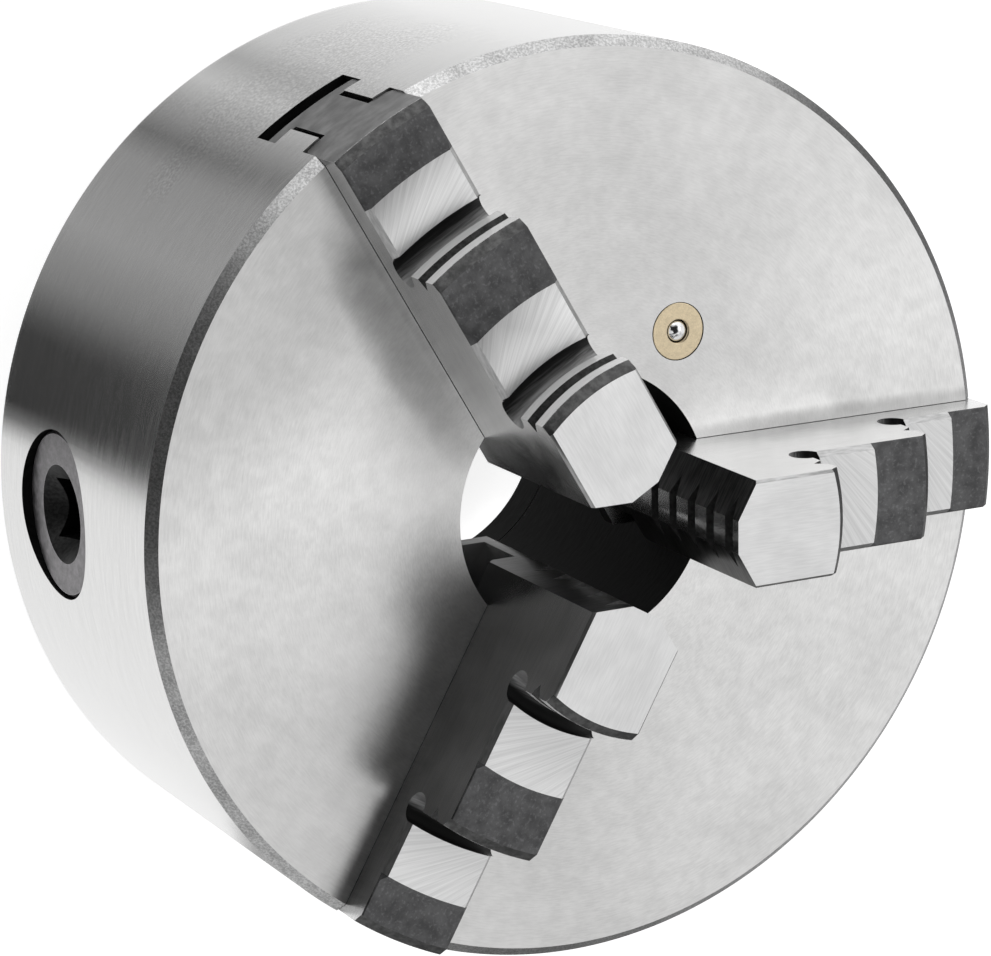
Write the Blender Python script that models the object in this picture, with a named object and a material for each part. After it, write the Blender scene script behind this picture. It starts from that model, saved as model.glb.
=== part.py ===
"""Three-jaw self-centring scroll chuck, 200 mm, modelled as separate pieces.

Metres, +Z up. The chuck lies on its rear rim with the jaws upward, the spindle axis is Z and
the origin is the centre of the rear rim plane. Jaws point to 30, 150 and 270 degrees, the
bevel pinions to 90, 210 and 330 degrees.
"""
import math

import bmesh
import bpy
from mathutils import Matrix, Vector

MM = 0.001
GAP = 0.3 * MM

# Chuck body
BODY_R = 100 * MM
BODY_H = 85 * MM
BORE_R = 29.8 * MM
FRONT_CHAMFER = 2.2 * MM
REAR_CHAMFER = 1.5 * MM
REGISTER_R = 82.5 * MM
CAVITY_R = 81 * MM
CEILING_Z = 59 * MM
HUB_R = 42.5 * MM
HUB_END_Z = 15.6 * MM
SHOULDER_Z = 13.3 * MM
EDGE_BREAK = 0.8 * MM

# Back cover and its screws
COVER_Z = 6 * MM
COVER_RIM_R = 75 * MM
COVER_RIB_R = 52 * MM
COVER_RIB_TOP = 38.4 * MM
RIB_GAP = 0.6 * MM
NOTCH_HALF_W = 7 * MM
NOTCH_FLOOR = 25.5 * MM
COVER_SCREWS = 6
COVER_SCREW_CIRCLE = 36.3 * MM
M6_R = 3 * MM
M6_HEAD_R = 5 * MM
M6_HEAD_H = 5.7 * MM
M6_REACH = 27 * MM

# Mounting threads in the rear rim
MOUNT_CIRCLE = 90 * MM
MOUNT_HOLE_R = 4.5 * MM
MOUNT_HOLE_DEPTH = 22 * MM

# Jaws
JAW_ANGLES = (150, 30, 270)
JAW_HALF_W = 11.45 * MM
JAW_TIP = 14.6 * MM
STRIP_HALF_W = 3.5 * MM
NOSE_SLOPE = math.tan(math.radians(30))
SERRATIONS = 5
SERRATION_PITCH = 7.6 * MM
SERRATION_DEPTH = 2.3 * MM
SERRATION_HALF = 1.5 * MM
JAW_END_R = 99.6 * MM
TOP_Z = 123.5 * MM
STEP_GROUND = (109.2 * MM, 93.6 * MM)
STEP_DROP = 0.9 * MM
RISER_R = (41.2 * MM, 72.8 * MM)
STEP_DARK_R = (58 * MM, 88 * MM)
STEP_RAMP = 1.5 * MM
LAND_CHAMFER = 1.9 * MM
UNDERCUT_R = 3.3 * MM
UNDERCUT_STEPS = 7
V_GROOVE_DEPTH = 2.5 * MM
V_GROOVE_HALF = 1.7 * MM
V_GROOVE_DROP = 6.5 * MM
EDGE_GROUND = 1.2 * MM
EDGE_FINE = 0.3 * MM

# Jaw guide section
HEAD_Z = 77 * MM
FLANGE_TOP = 63 * MM
FLANGE_Z = 59.1 * MM
WEB_HALF_W = 5.7 * MM
THROAT_HALF_W = 7 * MM
SLOT_FLOOR = 54.5 * MM
SLOT_SIDE_GAP = 0.2 * MM

# Scroll plate
SPIRAL_PITCH = 8 * MM
SPIRAL_START = 45.5 * MM
SPIRAL_TURNS = 4.1
SPIRAL_STEPS = 34
RIDGE_W = 3.8 * MM
RIDGE_TOP = 58.7 * MM
SCROLL_FACE = 54.2 * MM
SCROLL_IN_R = 42.9 * MM
SCROLL_R = 80.5 * MM
SLEEVE_END = 38.7 * MM
JAW_TOOTH_W = 3 * MM
JAW_TOOTH_HALF_LEN = 7 * MM
JAW_TOOTH_Z = 54.6 * MM
JAW_TOOTH_BEND = 60 * MM
JAW_TEETH = 8
FIRST_TOOTH = 26 * MM

# Bevel gearing between the pinions and the scroll plate
WHEEL_TEETH = 60
PINION_TEETH = 10
PINION_ANGLES = (210, 90, 330)
PINION_Z = 32.5 * MM
GEAR_R = 80 * MM
GEAR_IN_R = 60 * MM
GEAR_MODULE = 2 * GEAR_R / WHEEL_TEETH
PRESSURE = math.radians(25)
TOOTH_SHARE = 0.46
WHEEL_ADDENDUM = 0.75
PINION_ADDENDUM = 0.8
DEDENDUM = 1.0
ROOT_SINK = 0.01

# Bevel pinion
JOURNAL_R = 18 * MM
JOURNAL_IN = 82 * MM
PINION_END = 98 * MM
PILOT_R = 5.8 * MM
PILOT_END = 36 * MM
GROOVE_R = 15 * MM
GROOVE_HALF = 3 * MM
GROOVE_AT = 89 * MM
SQUARE = 13 * MM
SOCKET_DEPTH = 16.5 * MM
SOCKET_MOUTH_R = 10.7 * MM
SOCKET_CONE_DEPTH = 4.6 * MM

# Pinion retaining screw, M8 with a dog point
M8_R = 3.9 * MM
DOG_R = 2.6 * MM
DOG_END = 17.1 * MM

# Ball oiler in the front face
OILER_AT = 42.3 * MM
OILER_ANGLE = 87
OILER_R = 6.2 * MM
OILER_DEPTH = 8 * MM
OILER_BORE_R = 3.1 * MM
OILER_MOUTH_R = 2.3 * MM
OILER_FLOOR = 0.8 * MM
OIL_OUTLET_R = 1.4 * MM
OIL_PASSAGE_R = 2.5 * MM
BALL_R = 2.7 * MM
BALL_PROUD = 0.7 * MM
WIRE_R = 0.3 * MM
SPRING_R = 1.9 * MM
SPRING_TURNS = 3.5

FINE = 72


def clear_scene():
    for obj in list(bpy.data.objects):
        bpy.data.objects.remove(obj, do_unlink=True)


def material(name, colour, roughness, metallic):
    mat = bpy.data.materials.new(name)
    mat.use_nodes = True
    shader = mat.node_tree.nodes["Principled BSDF"]
    shader.inputs["Base Color"].default_value = (*colour, 1)
    shader.inputs["Roughness"].default_value = roughness
    shader.inputs["Metallic"].default_value = metallic
    return mat


def mesh_object(name, verts, faces, mat=None, smooth=True):
    """One object from points and faces, with its faces turned outward."""
    mesh = bpy.data.meshes.new(name)
    bm = bmesh.new()
    points = [bm.verts.new(v) for v in verts]
    for face in faces:
        bm.faces.new([points[i] for i in face])
    bmesh.ops.recalc_face_normals(bm, faces=bm.faces)
    bm.to_mesh(mesh)
    bm.free()
    if smooth:
        mesh.shade_smooth()
        mesh.set_sharp_from_angle(angle=math.radians(35))
    obj = bpy.data.objects.new(name, mesh)
    bpy.context.collection.objects.link(obj)
    if mat:
        mesh.materials.append(mat)
    return obj


def ring_faces(rows, columns, close_rows):
    """Quads of a grid whose columns close on themselves."""
    last = rows if close_rows else rows - 1
    faces = []
    for i in range(last):
        for j in range(columns):
            a, b = i * columns, (i + 1) % rows * columns
            k = (j + 1) % columns
            faces.append((a + j, a + k, b + k, b + j))
    return faces


def turned_ring(name, profile, steps=FINE, mat=None):
    """A closed (r, z) outline turned about Z, open in the middle."""
    verts = [(r * math.cos(2 * math.pi * j / steps), r * math.sin(2 * math.pi * j / steps), z)
             for r, z in profile for j in range(steps)]
    return mesh_object(name, verts, ring_faces(len(profile), steps, True), mat)


def turned_solid(name, profile, steps, mat=None):
    """An (r, z) outline from its lower to its upper flat end, turned about Z."""
    verts = [(r * math.cos(2 * math.pi * j / steps), r * math.sin(2 * math.pi * j / steps), z)
             for r, z in profile for j in range(steps)]
    faces = ring_faces(len(profile), steps, False)
    top = (len(profile) - 1) * steps
    faces += [tuple(range(steps)), tuple(range(top, top + steps))]
    return mesh_object(name, verts, faces, mat)


def prism(name, outline, low, high, mat=None):
    """A flat outline in XY between two heights."""
    n = len(outline)
    verts = [(x, y, low) for x, y in outline] + [(x, y, high) for x, y in outline]
    faces = [tuple(range(n)), tuple(range(n, 2 * n))]
    faces += [(i, (i + 1) % n, n + (i + 1) % n, n + i) for i in range(n)]
    return mesh_object(name, verts, faces, mat, smooth=False)


def box(name, low, high):
    outline = [(low[0], low[1]), (high[0], low[1]), (high[0], high[1]), (low[0], high[1])]
    return prism(name, outline, low[2], high[2])


def spin(angle):
    return Matrix.Rotation(math.radians(angle), 4, "Z")


def along_x(angle, height):
    """Carries the Z axis of a turned piece to a radial line at a height above the rear rim."""
    return spin(angle) @ Matrix.Translation((0, 0, height)) @ Matrix.Rotation(math.pi / 2, 4, "Y")


def bake(obj, matrix):
    obj.data.transform(matrix)
    return obj


def place(obj, matrix):
    """Moves the object and leaves its mesh in its own frame."""
    obj.matrix_world = matrix
    return obj


def combine(target, others, operation):
    """Exact boolean of the target with each other object, applied in turn."""
    for other in others:
        other.hide_render = True
        other.display_type = "WIRE"
        step = target.modifiers.new(operation.title(), "BOOLEAN")
        step.operation = operation
        step.solver = "EXACT"
        step.object = other
        bpy.context.view_layer.update()
        evaluated = target.evaluated_get(bpy.context.evaluated_depsgraph_get())
        mesh = bpy.data.meshes.new_from_object(evaluated)
        target.modifiers.clear()
        target.data = mesh
        bpy.data.objects.remove(other, do_unlink=True)
    return target


def tidy(obj, angle=0.2):
    """Joins coplanar faces that the booleans split, and marks the sharp edges again."""
    bm = bmesh.new()
    bm.from_mesh(obj.data)
    bmesh.ops.remove_doubles(bm, verts=bm.verts, dist=2e-6)
    bmesh.ops.dissolve_limit(bm, angle_limit=math.radians(angle), verts=bm.verts, edges=bm.edges)
    bmesh.ops.triangulate(bm, faces=[f for f in bm.faces if len(f.verts) > 4])
    bm.to_mesh(obj.data)
    bm.free()
    obj.data.shade_smooth()
    obj.data.set_sharp_from_angle(angle=math.radians(35))
    return obj


def drills(profile, circle, angles, steps=16):
    """Cutters of one turned profile, on a circle of holes along Z."""
    cutters = []
    for angle in angles:
        drill = turned_solid("drill", profile, steps)
        cutters.append(bake(drill, spin(angle) @ Matrix.Translation((circle, 0, 0))))
    return cutters


def holes(radius, circle, angles, low, high, steps=16):
    """Cutters for a circle of plain holes along Z."""
    return drills([(radius, low), (radius, high)], circle, angles, steps)


def screw_angles():
    return [i * 360 / COVER_SCREWS for i in range(COVER_SCREWS)]


def slot_cutter(angle):
    """The guide slot of one jaw: head, throat between the rails, and flange with its teeth."""
    head = JAW_HALF_W + SLOT_SIDE_GAP
    rail_top, rail_low = HEAD_Z - GAP, FLANGE_TOP + GAP
    half = [(head, SLOT_FLOOR), (head, rail_low), (THROAT_HALF_W, rail_low),
            (THROAT_HALF_W, rail_top), (head, rail_top), (head, BODY_H + 5 * MM)]
    outline = half + [(-v, z) for v, z in reversed(half)]
    cutter = prism("slot", outline, 20 * MM, 110 * MM)
    turn = Matrix(((0, 0, 1, 0), (1, 0, 0, 0), (0, 1, 0, 0), (0, 0, 0, 1)))
    return bake(cutter, spin(angle) @ turn)


def chuck_body(steel):
    profile = [
        (BORE_R, HUB_END_Z), (HUB_R, HUB_END_Z), (HUB_R, CEILING_Z), (CAVITY_R, CEILING_Z),
        (CAVITY_R, SHOULDER_Z), (REGISTER_R, SHOULDER_Z), (REGISTER_R, EDGE_BREAK),
        (REGISTER_R + EDGE_BREAK, 0), (BODY_R - REAR_CHAMFER, 0), (BODY_R, REAR_CHAMFER),
        (BODY_R, BODY_H - FRONT_CHAMFER), (BODY_R - FRONT_CHAMFER, BODY_H),
        (BORE_R + EDGE_BREAK, BODY_H), (BORE_R, BODY_H - EDGE_BREAK)]
    body = turned_ring("chuck_body", profile, FINE, steel)
    cutters = [slot_cutter(a) for a in JAW_ANGLES]
    for angle in PINION_ANGLES:
        journal = [(JOURNAL_R + GAP, 78 * MM), (JOURNAL_R + GAP, 105 * MM)]
        pilot = [(PILOT_R + GAP, PILOT_END - GAP), (PILOT_R + GAP, 46 * MM)]
        cutters.append(bake(turned_solid("bore", journal, 36), along_x(angle, PINION_Z)))
        cutters.append(bake(turned_solid("bore", pilot, 16), along_x(angle, PINION_Z)))
    cutters += holes(M8_R + GAP, GROOVE_AT, PINION_ANGLES, -1 * MM, 20 * MM)
    cutters += holes(MOUNT_HOLE_R, MOUNT_CIRCLE, JAW_ANGLES, -1 * MM, MOUNT_HOLE_DEPTH)
    cutters += holes(M6_R + GAP, COVER_SCREW_CIRCLE, screw_angles(), 10 * MM, M6_REACH + 1 * MM, 12)
    cutters += holes(OILER_R + GAP, OILER_AT, [OILER_ANGLE],
                     BODY_H - OILER_DEPTH - GAP, BODY_H + 5 * MM, 28)
    cutters += holes(OIL_PASSAGE_R, OILER_AT, [OILER_ANGLE], CEILING_Z - 1 * MM, BODY_H - 5 * MM, 12)
    return tidy(combine(body, cutters, "DIFFERENCE"))


def back_cover(steel):
    top = HUB_END_Z - GAP
    rim = SHOULDER_Z - GAP
    profile = [
        (BORE_R, COVER_Z), (REGISTER_R - GAP, COVER_Z), (REGISTER_R - GAP, rim),
        (COVER_RIM_R, rim), (COVER_RIM_R, top), (COVER_RIB_R, top), (COVER_RIB_R, COVER_RIB_TOP),
        (HUB_R + RIB_GAP, COVER_RIB_TOP), (HUB_R + RIB_GAP, top), (BORE_R, top)]
    cover = turned_ring("back_cover", profile, FINE, steel)
    cutters = []
    for angle in PINION_ANGLES:
        notch = box("notch", (HUB_R - 2 * MM, -NOTCH_HALF_W, NOTCH_FLOOR),
                    (COVER_RIB_R + 4 * MM, NOTCH_HALF_W, 45 * MM))
        cutters.append(bake(notch, spin(angle)))
    seat = COVER_Z + GAP + M6_HEAD_H + GAP
    head, shank = M6_HEAD_R + GAP, M6_R + GAP
    profile = [(head, 0), (head, seat), (shank, seat), (shank, 20 * MM)]
    cutters += drills(profile, COVER_SCREW_CIRCLE, screw_angles(), 16)
    return tidy(combine(cover, cutters, "DIFFERENCE"))


def regular_polygon(across_flats, sides, phase=0.0):
    r = across_flats / 2 / math.cos(math.pi / sides)
    return [(r * math.cos(2 * math.pi * i / sides + phase),
             r * math.sin(2 * math.pi * i / sides + phase)) for i in range(sides)]


def cover_screw(number, steel):
    """Socket head cap screw M6, its head sunk in the cover and its shank in the hub."""
    head_low = COVER_Z + GAP
    head_top = head_low + M6_HEAD_H
    profile = [(M6_HEAD_R - 0.5 * MM, head_low), (M6_HEAD_R, head_low + 0.5 * MM),
               (M6_HEAD_R, head_top), (M6_R, head_top), (M6_R, M6_REACH - 0.6 * MM),
               (M6_R - 0.6 * MM, M6_REACH)]
    screw = turned_solid(f"cover_screw_{number}", profile, 14, steel)
    key = prism("key", regular_polygon(5 * MM, 6), 0, head_low + 3.2 * MM)
    combine(screw, [key], "DIFFERENCE")
    angle = screw_angles()[number - 1]
    return place(tidy(screw), spin(angle) @ Matrix.Translation((COVER_SCREW_CIRCLE, 0, 0)))


def retaining_screw(number, steel):
    """Slotted M8 screw whose dog point runs in the groove of a pinion."""
    profile = [(M8_R - 0.6 * MM, 1 * MM), (M8_R, 1.6 * MM), (M8_R, 13 * MM),
               (DOG_R, 13.6 * MM), (DOG_R, DOG_END)]
    screw = turned_solid(f"pinion_retaining_screw_{number}", profile, 14, steel)
    slot = box("slot", (-5 * MM, -0.7 * MM, 0), (5 * MM, 0.7 * MM, 2.8 * MM))
    combine(screw, [slot], "DIFFERENCE")
    angle = PINION_ANGLES[number - 1]
    return place(tidy(screw), spin(angle) @ Matrix.Translation((GROOVE_AT, 0, 0)))


def spiral_radius(theta):
    """Centre line of the scroll ridge, in the plate's own polar angle."""
    return SPIRAL_START + SPIRAL_PITCH * theta / (2 * math.pi)


def spiral_ridge():
    steps = int(SPIRAL_TURNS * SPIRAL_STEPS)
    low, high = SCROLL_FACE - 1.5 * MM, RIDGE_TOP
    half = RIDGE_W / 2
    verts = []
    for i in range(steps + 1):
        theta = 2 * math.pi * SPIRAL_TURNS * i / steps
        for offset, z in ((-half, low), (half, low), (half, high), (-half, high)):
            r = spiral_radius(theta) + offset
            verts.append((r * math.cos(theta), r * math.sin(theta), z))
    faces = [(0, 1, 2, 3), tuple(4 * steps + k for k in range(4))]
    for i in range(steps):
        for k in range(4):
            j = (k + 1) % 4
            faces.append((4 * i + k, 4 * i + j, 4 * i + 4 + j, 4 * i + 4 + k))
    return mesh_object("spiral", verts, faces)


def wheel_slopes():
    """Height above the pinion axis per unit radius at the tips, the pitch line and the roots."""
    pitch = PINION_TEETH / WHEEL_TEETH
    scale = GEAR_MODULE / GEAR_R
    return pitch - WHEEL_ADDENDUM * scale, pitch, pitch + DEDENDUM * scale


def wheel_tooth(angle):
    """Straight bevel tooth whose flanks converge on the crossing of the two axes."""
    tip, pitch, root = wheel_slopes()
    root += ROOT_SINK
    half = TOOTH_SHARE * math.pi * GEAR_MODULE / 2 / GEAR_R
    tip_half = half - (pitch - tip) * math.tan(PRESSURE)
    root_half = half + (root - pitch) * math.tan(PRESSURE)
    verts = []
    for r in (GEAR_IN_R, GEAR_R):
        for side, height in ((-tip_half, tip), (tip_half, tip), (root_half, root), (-root_half, root)):
            verts.append((r, r * side, PINION_Z + r * height))
    faces = [(0, 1, 2, 3), (4, 5, 6, 7)]
    faces += [(k, (k + 1) % 4, 4 + (k + 1) % 4, 4 + k) for k in range(4)]
    return [spin(angle) @ Vector(v) for v in verts], faces


def wheel_teeth():
    verts, faces = [], []
    for i in range(WHEEL_TEETH):
        points, quads = wheel_tooth(PINION_ANGLES[1] + (i + 0.5) * 360 / WHEEL_TEETH)
        faces += [tuple(len(verts) + k for k in quad) for quad in quads]
        verts += points
    return mesh_object("teeth", verts, faces, smooth=False)


def scroll_plate(steel):
    root = wheel_slopes()[2]
    sleeve_r = COVER_RIB_R
    profile = [
        (SCROLL_IN_R, SLEEVE_END), (sleeve_r, SLEEVE_END), (sleeve_r, PINION_Z + sleeve_r * root),
        (SCROLL_R, PINION_Z + SCROLL_R * root), (SCROLL_R, SCROLL_FACE), (SCROLL_IN_R, SCROLL_FACE)]
    plate = turned_ring("scroll_plate", profile, FINE, steel)
    combine(plate, [spiral_ridge(), wheel_teeth()], "UNION")
    return tidy(plate)


def involute_profile():
    """Pinion outline at the wheel's outer radius, one tooth on +X."""
    m = GEAR_MODULE
    pitch_r = PINION_TEETH * m / 2
    base_r = pitch_r * math.cos(PRESSURE)
    outer_r = pitch_r + PINION_ADDENDUM * m
    root_r = pitch_r - DEDENDUM * m

    def roll(r):
        a = math.acos(base_r / r)
        return math.tan(a) - a

    half_pitch = TOOTH_SHARE * math.pi / PINION_TEETH
    flank = []
    for k in range(4):
        r = base_r + (outer_r - base_r) * k / 3
        flank.append((r, half_pitch + roll(pitch_r) - roll(r)))
    half = [(root_r, flank[0][1] + 0.02)] + flank
    outline = []
    for i in range(PINION_TEETH):
        centre = 2 * math.pi * i / PINION_TEETH
        tooth = [(r, centre - a) for r, a in half] + [(r, centre + a) for r, a in reversed(half)]
        outline += [(r * math.cos(a), r * math.sin(a)) for r, a in tooth]
    return outline


def pinion_gear():
    """The involute outline drawn in toward the crossing of the axes."""
    outline = involute_profile()
    n = len(outline)
    near, far = GEAR_IN_R + 1 * MM, JOURNAL_IN + 0.5 * MM
    verts = [(x * d / GEAR_R, y * d / GEAR_R, d) for d in (near, far) for x, y in outline]
    faces = [tuple(range(n)), tuple(range(n, 2 * n))]
    faces += [(i, (i + 1) % n, n + (i + 1) % n, n + i) for i in range(n)]
    return mesh_object("gear", verts, faces, smooth=False)


def pinion(number, steel):
    mouth = PINION_END
    profile = [
        (PILOT_R - 0.6 * MM, PILOT_END), (PILOT_R, PILOT_END + 0.6 * MM), (PILOT_R, JOURNAL_IN),
        (JOURNAL_R, JOURNAL_IN), (JOURNAL_R, GROOVE_AT - GROOVE_HALF),
        (GROOVE_R, GROOVE_AT - GROOVE_HALF), (GROOVE_R, GROOVE_AT + GROOVE_HALF),
        (JOURNAL_R, GROOVE_AT + GROOVE_HALF), (JOURNAL_R, mouth - 0.7 * MM),
        (JOURNAL_R - 0.7 * MM, mouth), (SOCKET_MOUTH_R, mouth),
        (SOCKET_MOUTH_R - SOCKET_CONE_DEPTH, mouth - SOCKET_CONE_DEPTH)]
    shaft = turned_solid(f"pinion_{number}", profile, 32, steel)
    combine(shaft, [pinion_gear()], "UNION")
    square = prism("square", regular_polygon(SQUARE, 4, math.pi / 4), mouth - SOCKET_DEPTH, mouth + 5 * MM)
    combine(shaft, [square], "DIFFERENCE")
    bake(tidy(shaft), Matrix.Rotation(math.pi, 4, "Z"))
    return place(shaft, along_x(PINION_ANGLES[number - 1], PINION_Z))


def undercut(riser, ground):
    """Relief groove at the foot of a riser, from the riser face round to the ground flat."""
    points = []
    for i in range(UNDERCUT_STEPS + 1):
        a = math.pi / 2 + 3 * math.pi / 2 * i / UNDERCUT_STEPS
        points.append((riser + UNDERCUT_R * math.cos(a), ground + UNDERCUT_R * math.sin(a)))
    return points


def jaw_side():
    """Side outline of a jaw as (kind, radius, height, edge chamfer) points."""
    outline = [("nose", BODY_R, FLANGE_Z, 0), ("nose", BODY_R, TOP_Z, 2 * EDGE_FINE),
               ("arc", RISER_R[0] - LAND_CHAMFER, TOP_Z, 2 * EDGE_FINE)]
    high = TOP_Z
    for riser, ground, dark in zip(RISER_R, STEP_GROUND, STEP_DARK_R):
        groove = high - V_GROOVE_DROP
        outline += [("arc", riser, high - LAND_CHAMFER, 0), ("arc", riser, groove + V_GROOVE_HALF, 0),
                    ("arc", riser - V_GROOVE_DEPTH, groove, 0),
                    ("arc", riser, groove - V_GROOVE_HALF, 0)]
        points = undercut(riser, ground)
        outline += [("arc", r, z, 0) for r, z in points[:-1]]
        outline.append(("arc", points[-1][0], points[-1][1], EDGE_GROUND))
        high = ground - STEP_DROP
        outline.append(("arc", dark, ground, EDGE_GROUND))
        outline.append(("arc", dark + STEP_RAMP, high, EDGE_FINE))
        end = RISER_R[1] if riser == RISER_R[0] else JAW_END_R
        outline.append(("arc", end - LAND_CHAMFER, high, EDGE_FINE))
    outline += [("arc", JAW_END_R, high - LAND_CHAMFER, 0), ("arc", JAW_END_R, FLANGE_Z, 0)]
    return outline


def jaw_point(kind, radius, z, edge, station):
    """A point of the jaw's skin at one of six stations across its width."""
    side = 1 if station > 2 else -1
    step = station - 3 if station > 2 else 2 - station
    v = (STRIP_HALF_W, JAW_HALF_W - max(edge, EDGE_FINE), JAW_HALF_W)[step]
    u = math.sqrt(radius ** 2 - v ** 2)
    if kind == "nose":
        u = JAW_TIP + (v - STRIP_HALF_W) * NOSE_SLOPE
    return u, side * v, z - (edge if step == 2 else 0)


def jaw_blank(name, steel):
    outline = jaw_side()
    rows, columns = 6, len(outline)
    verts = [jaw_point(*point, station) for station in range(rows) for point in outline]
    faces = ring_faces(rows, columns, False)
    faces += [tuple(range(columns)), tuple(range((rows - 1) * columns, rows * columns))]
    return mesh_object(name, verts, faces, steel, smooth=False)


def serration(number):
    """Cutter for one grip groove, a wedge lying across the nose."""
    z = TOP_Z - (number + 0.5) * SERRATION_PITCH
    reach = 2 * SERRATION_DEPTH
    half = SERRATION_HALF * (reach + SERRATION_DEPTH) / SERRATION_DEPTH
    outline = [(JAW_TIP - reach, -half), (JAW_TIP + SERRATION_DEPTH, 0), (JAW_TIP - reach, half)]
    wedge = prism("wedge", outline, -JAW_HALF_W, JAW_HALF_W)
    turn = Matrix(((1, 0, 0, 0), (0, 0, -1, 0), (0, 1, 0, z), (0, 0, 0, 1)))
    return bake(wedge, turn)


def tooth_radii(angle):
    """Where the scroll's grooves cross one jaw's centre line, within the jaw's length."""
    phase = SPIRAL_START + SPIRAL_PITCH * (angle / 360 + 0.5)
    first = math.ceil((FIRST_TOOTH - phase) / SPIRAL_PITCH)
    return [phase + SPIRAL_PITCH * (first + i) for i in range(JAW_TEETH)]


def jaw_tooth(radius):
    """Curved tooth under the flange, at the mean curvature of the scroll's working turns."""
    bend = JAW_TOOTH_BEND
    half = JAW_TOOTH_W / 2
    reach = JAW_TOOTH_HALF_LEN
    outline = []
    for offset, order in ((half, (-1, 0, 1)), (-half, (1, 0, -1))):
        for k in order:
            v = k * reach
            outline.append((radius + offset - (bend - math.sqrt(bend ** 2 - v ** 2)), v))
    return prism("tooth", outline, JAW_TOOTH_Z, FLANGE_Z + 1 * MM)


def jaw(number, steel):
    angle = JAW_ANGLES[number - 1]
    body = jaw_blank(f"jaw_{number}", steel)
    grooves = []
    for side in (-1, 1):
        inner, outer = sorted((side * WEB_HALF_W, side * 20 * MM))
        grooves.append(box("groove", (5 * MM, inner, FLANGE_TOP), (110 * MM, outer, HEAD_Z)))
    wedges = [serration(i) for i in range(SERRATIONS)]
    combine(body, grooves + wedges, "DIFFERENCE")
    combine(body, [jaw_tooth(r) for r in tooth_radii(angle)], "UNION")
    return place(tidy(body), spin(angle))


def oiler_place():
    return spin(OILER_ANGLE) @ Matrix.Translation((OILER_AT, 0, 0))


def ball_height():
    return BODY_H + BALL_PROUD - BALL_R


def oiler_body(brass):
    """Brass button with a seat for the ball and a lip that keeps the spring in."""
    top, low = BODY_H - 0.05 * MM, BODY_H - OILER_DEPTH
    mouth, floor = OILER_MOUTH_R, low + OILER_FLOOR
    profile = [
        (OIL_OUTLET_R, low), (OILER_R - 0.5 * MM, low), (OILER_R, low + 0.5 * MM),
        (OILER_R, top - 0.2 * MM), (OILER_R - 0.2 * MM, top), (mouth + 0.5 * MM, top),
        (mouth + 0.2 * MM, top - 0.4 * MM), (OILER_BORE_R, ball_height() + 0.2 * MM),
        (OILER_BORE_R, floor), (OIL_OUTLET_R, floor)]
    return place(turned_ring("oiler_body", profile, 28, brass), oiler_place())


def oiler_ball(steel):
    steps, rings = 16, 9
    profile = []
    for i in range(1, rings + 1):
        a = math.pi * i / (rings + 1) - math.pi / 2
        profile.append((BALL_R * math.cos(a), BALL_R * math.sin(a)))
    ball = turned_solid("oiler_ball", profile, steps, steel)
    return place(ball, oiler_place() @ Matrix.Translation((0, 0, ball_height())))


def oiler_spring(steel):
    """Open coil between the lip of the oiler and the ball."""
    low = BODY_H - OILER_DEPTH + OILER_FLOOR + GAP + WIRE_R
    high = ball_height() - BALL_R + WIRE_R * 0.5
    steps = int(SPRING_TURNS * 10)
    sides = 5
    verts = []
    for i in range(steps + 1):
        a = 2 * math.pi * SPRING_TURNS * i / steps
        z = low + (high - low) * i / steps
        for k in range(sides):
            b = 2 * math.pi * k / sides
            r = SPRING_R + WIRE_R * math.cos(b)
            verts.append((r * math.cos(a), r * math.sin(a), z + WIRE_R * math.sin(b)))
    faces = ring_faces(steps + 1, sides, False)
    faces += [tuple(range(sides)), tuple(range(steps * sides, (steps + 1) * sides))]
    return place(mesh_object("oiler_spring", verts, faces, steel), oiler_place())


def main():
    clear_scene()
    cast = material("ground_steel", (0.62, 0.62, 0.61), 0.32, 1.0)
    oxide = material("hardened_jaw_steel", (0.45, 0.45, 0.46), 0.3, 1.0)
    gear = material("gear_steel", (0.3, 0.3, 0.31), 0.4, 1.0)
    black = material("blackened_screw", (0.05, 0.05, 0.055), 0.45, 0.9)
    brass = material("oiler_brass", (0.78, 0.68, 0.45), 0.35, 1.0)
    bright = material("bright_ball", (0.8, 0.8, 0.82), 0.15, 1.0)
    chuck_body(cast)
    back_cover(cast)
    scroll_plate(gear)
    for number in range(1, COVER_SCREWS + 1):
        cover_screw(number, black)
    for number in (1, 2, 3):
        jaw(number, oxide)
        pinion(number, gear)
        retaining_screw(number, black)
    oiler_body(brass)
    oiler_ball(bright)
    oiler_spring(bright)


main()
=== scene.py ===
"""Looks of the 200 mm three-jaw scroll chuck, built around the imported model.

Millimetre values are written times MM, so lengths are in metres. The chuck lies on its rear rim
at z = 0 with the spindle axis along Z. Jaws point to 30, 150 and 270 degrees.
"""
import math

import bmesh
import bpy
from mathutils import Matrix, Vector


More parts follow.
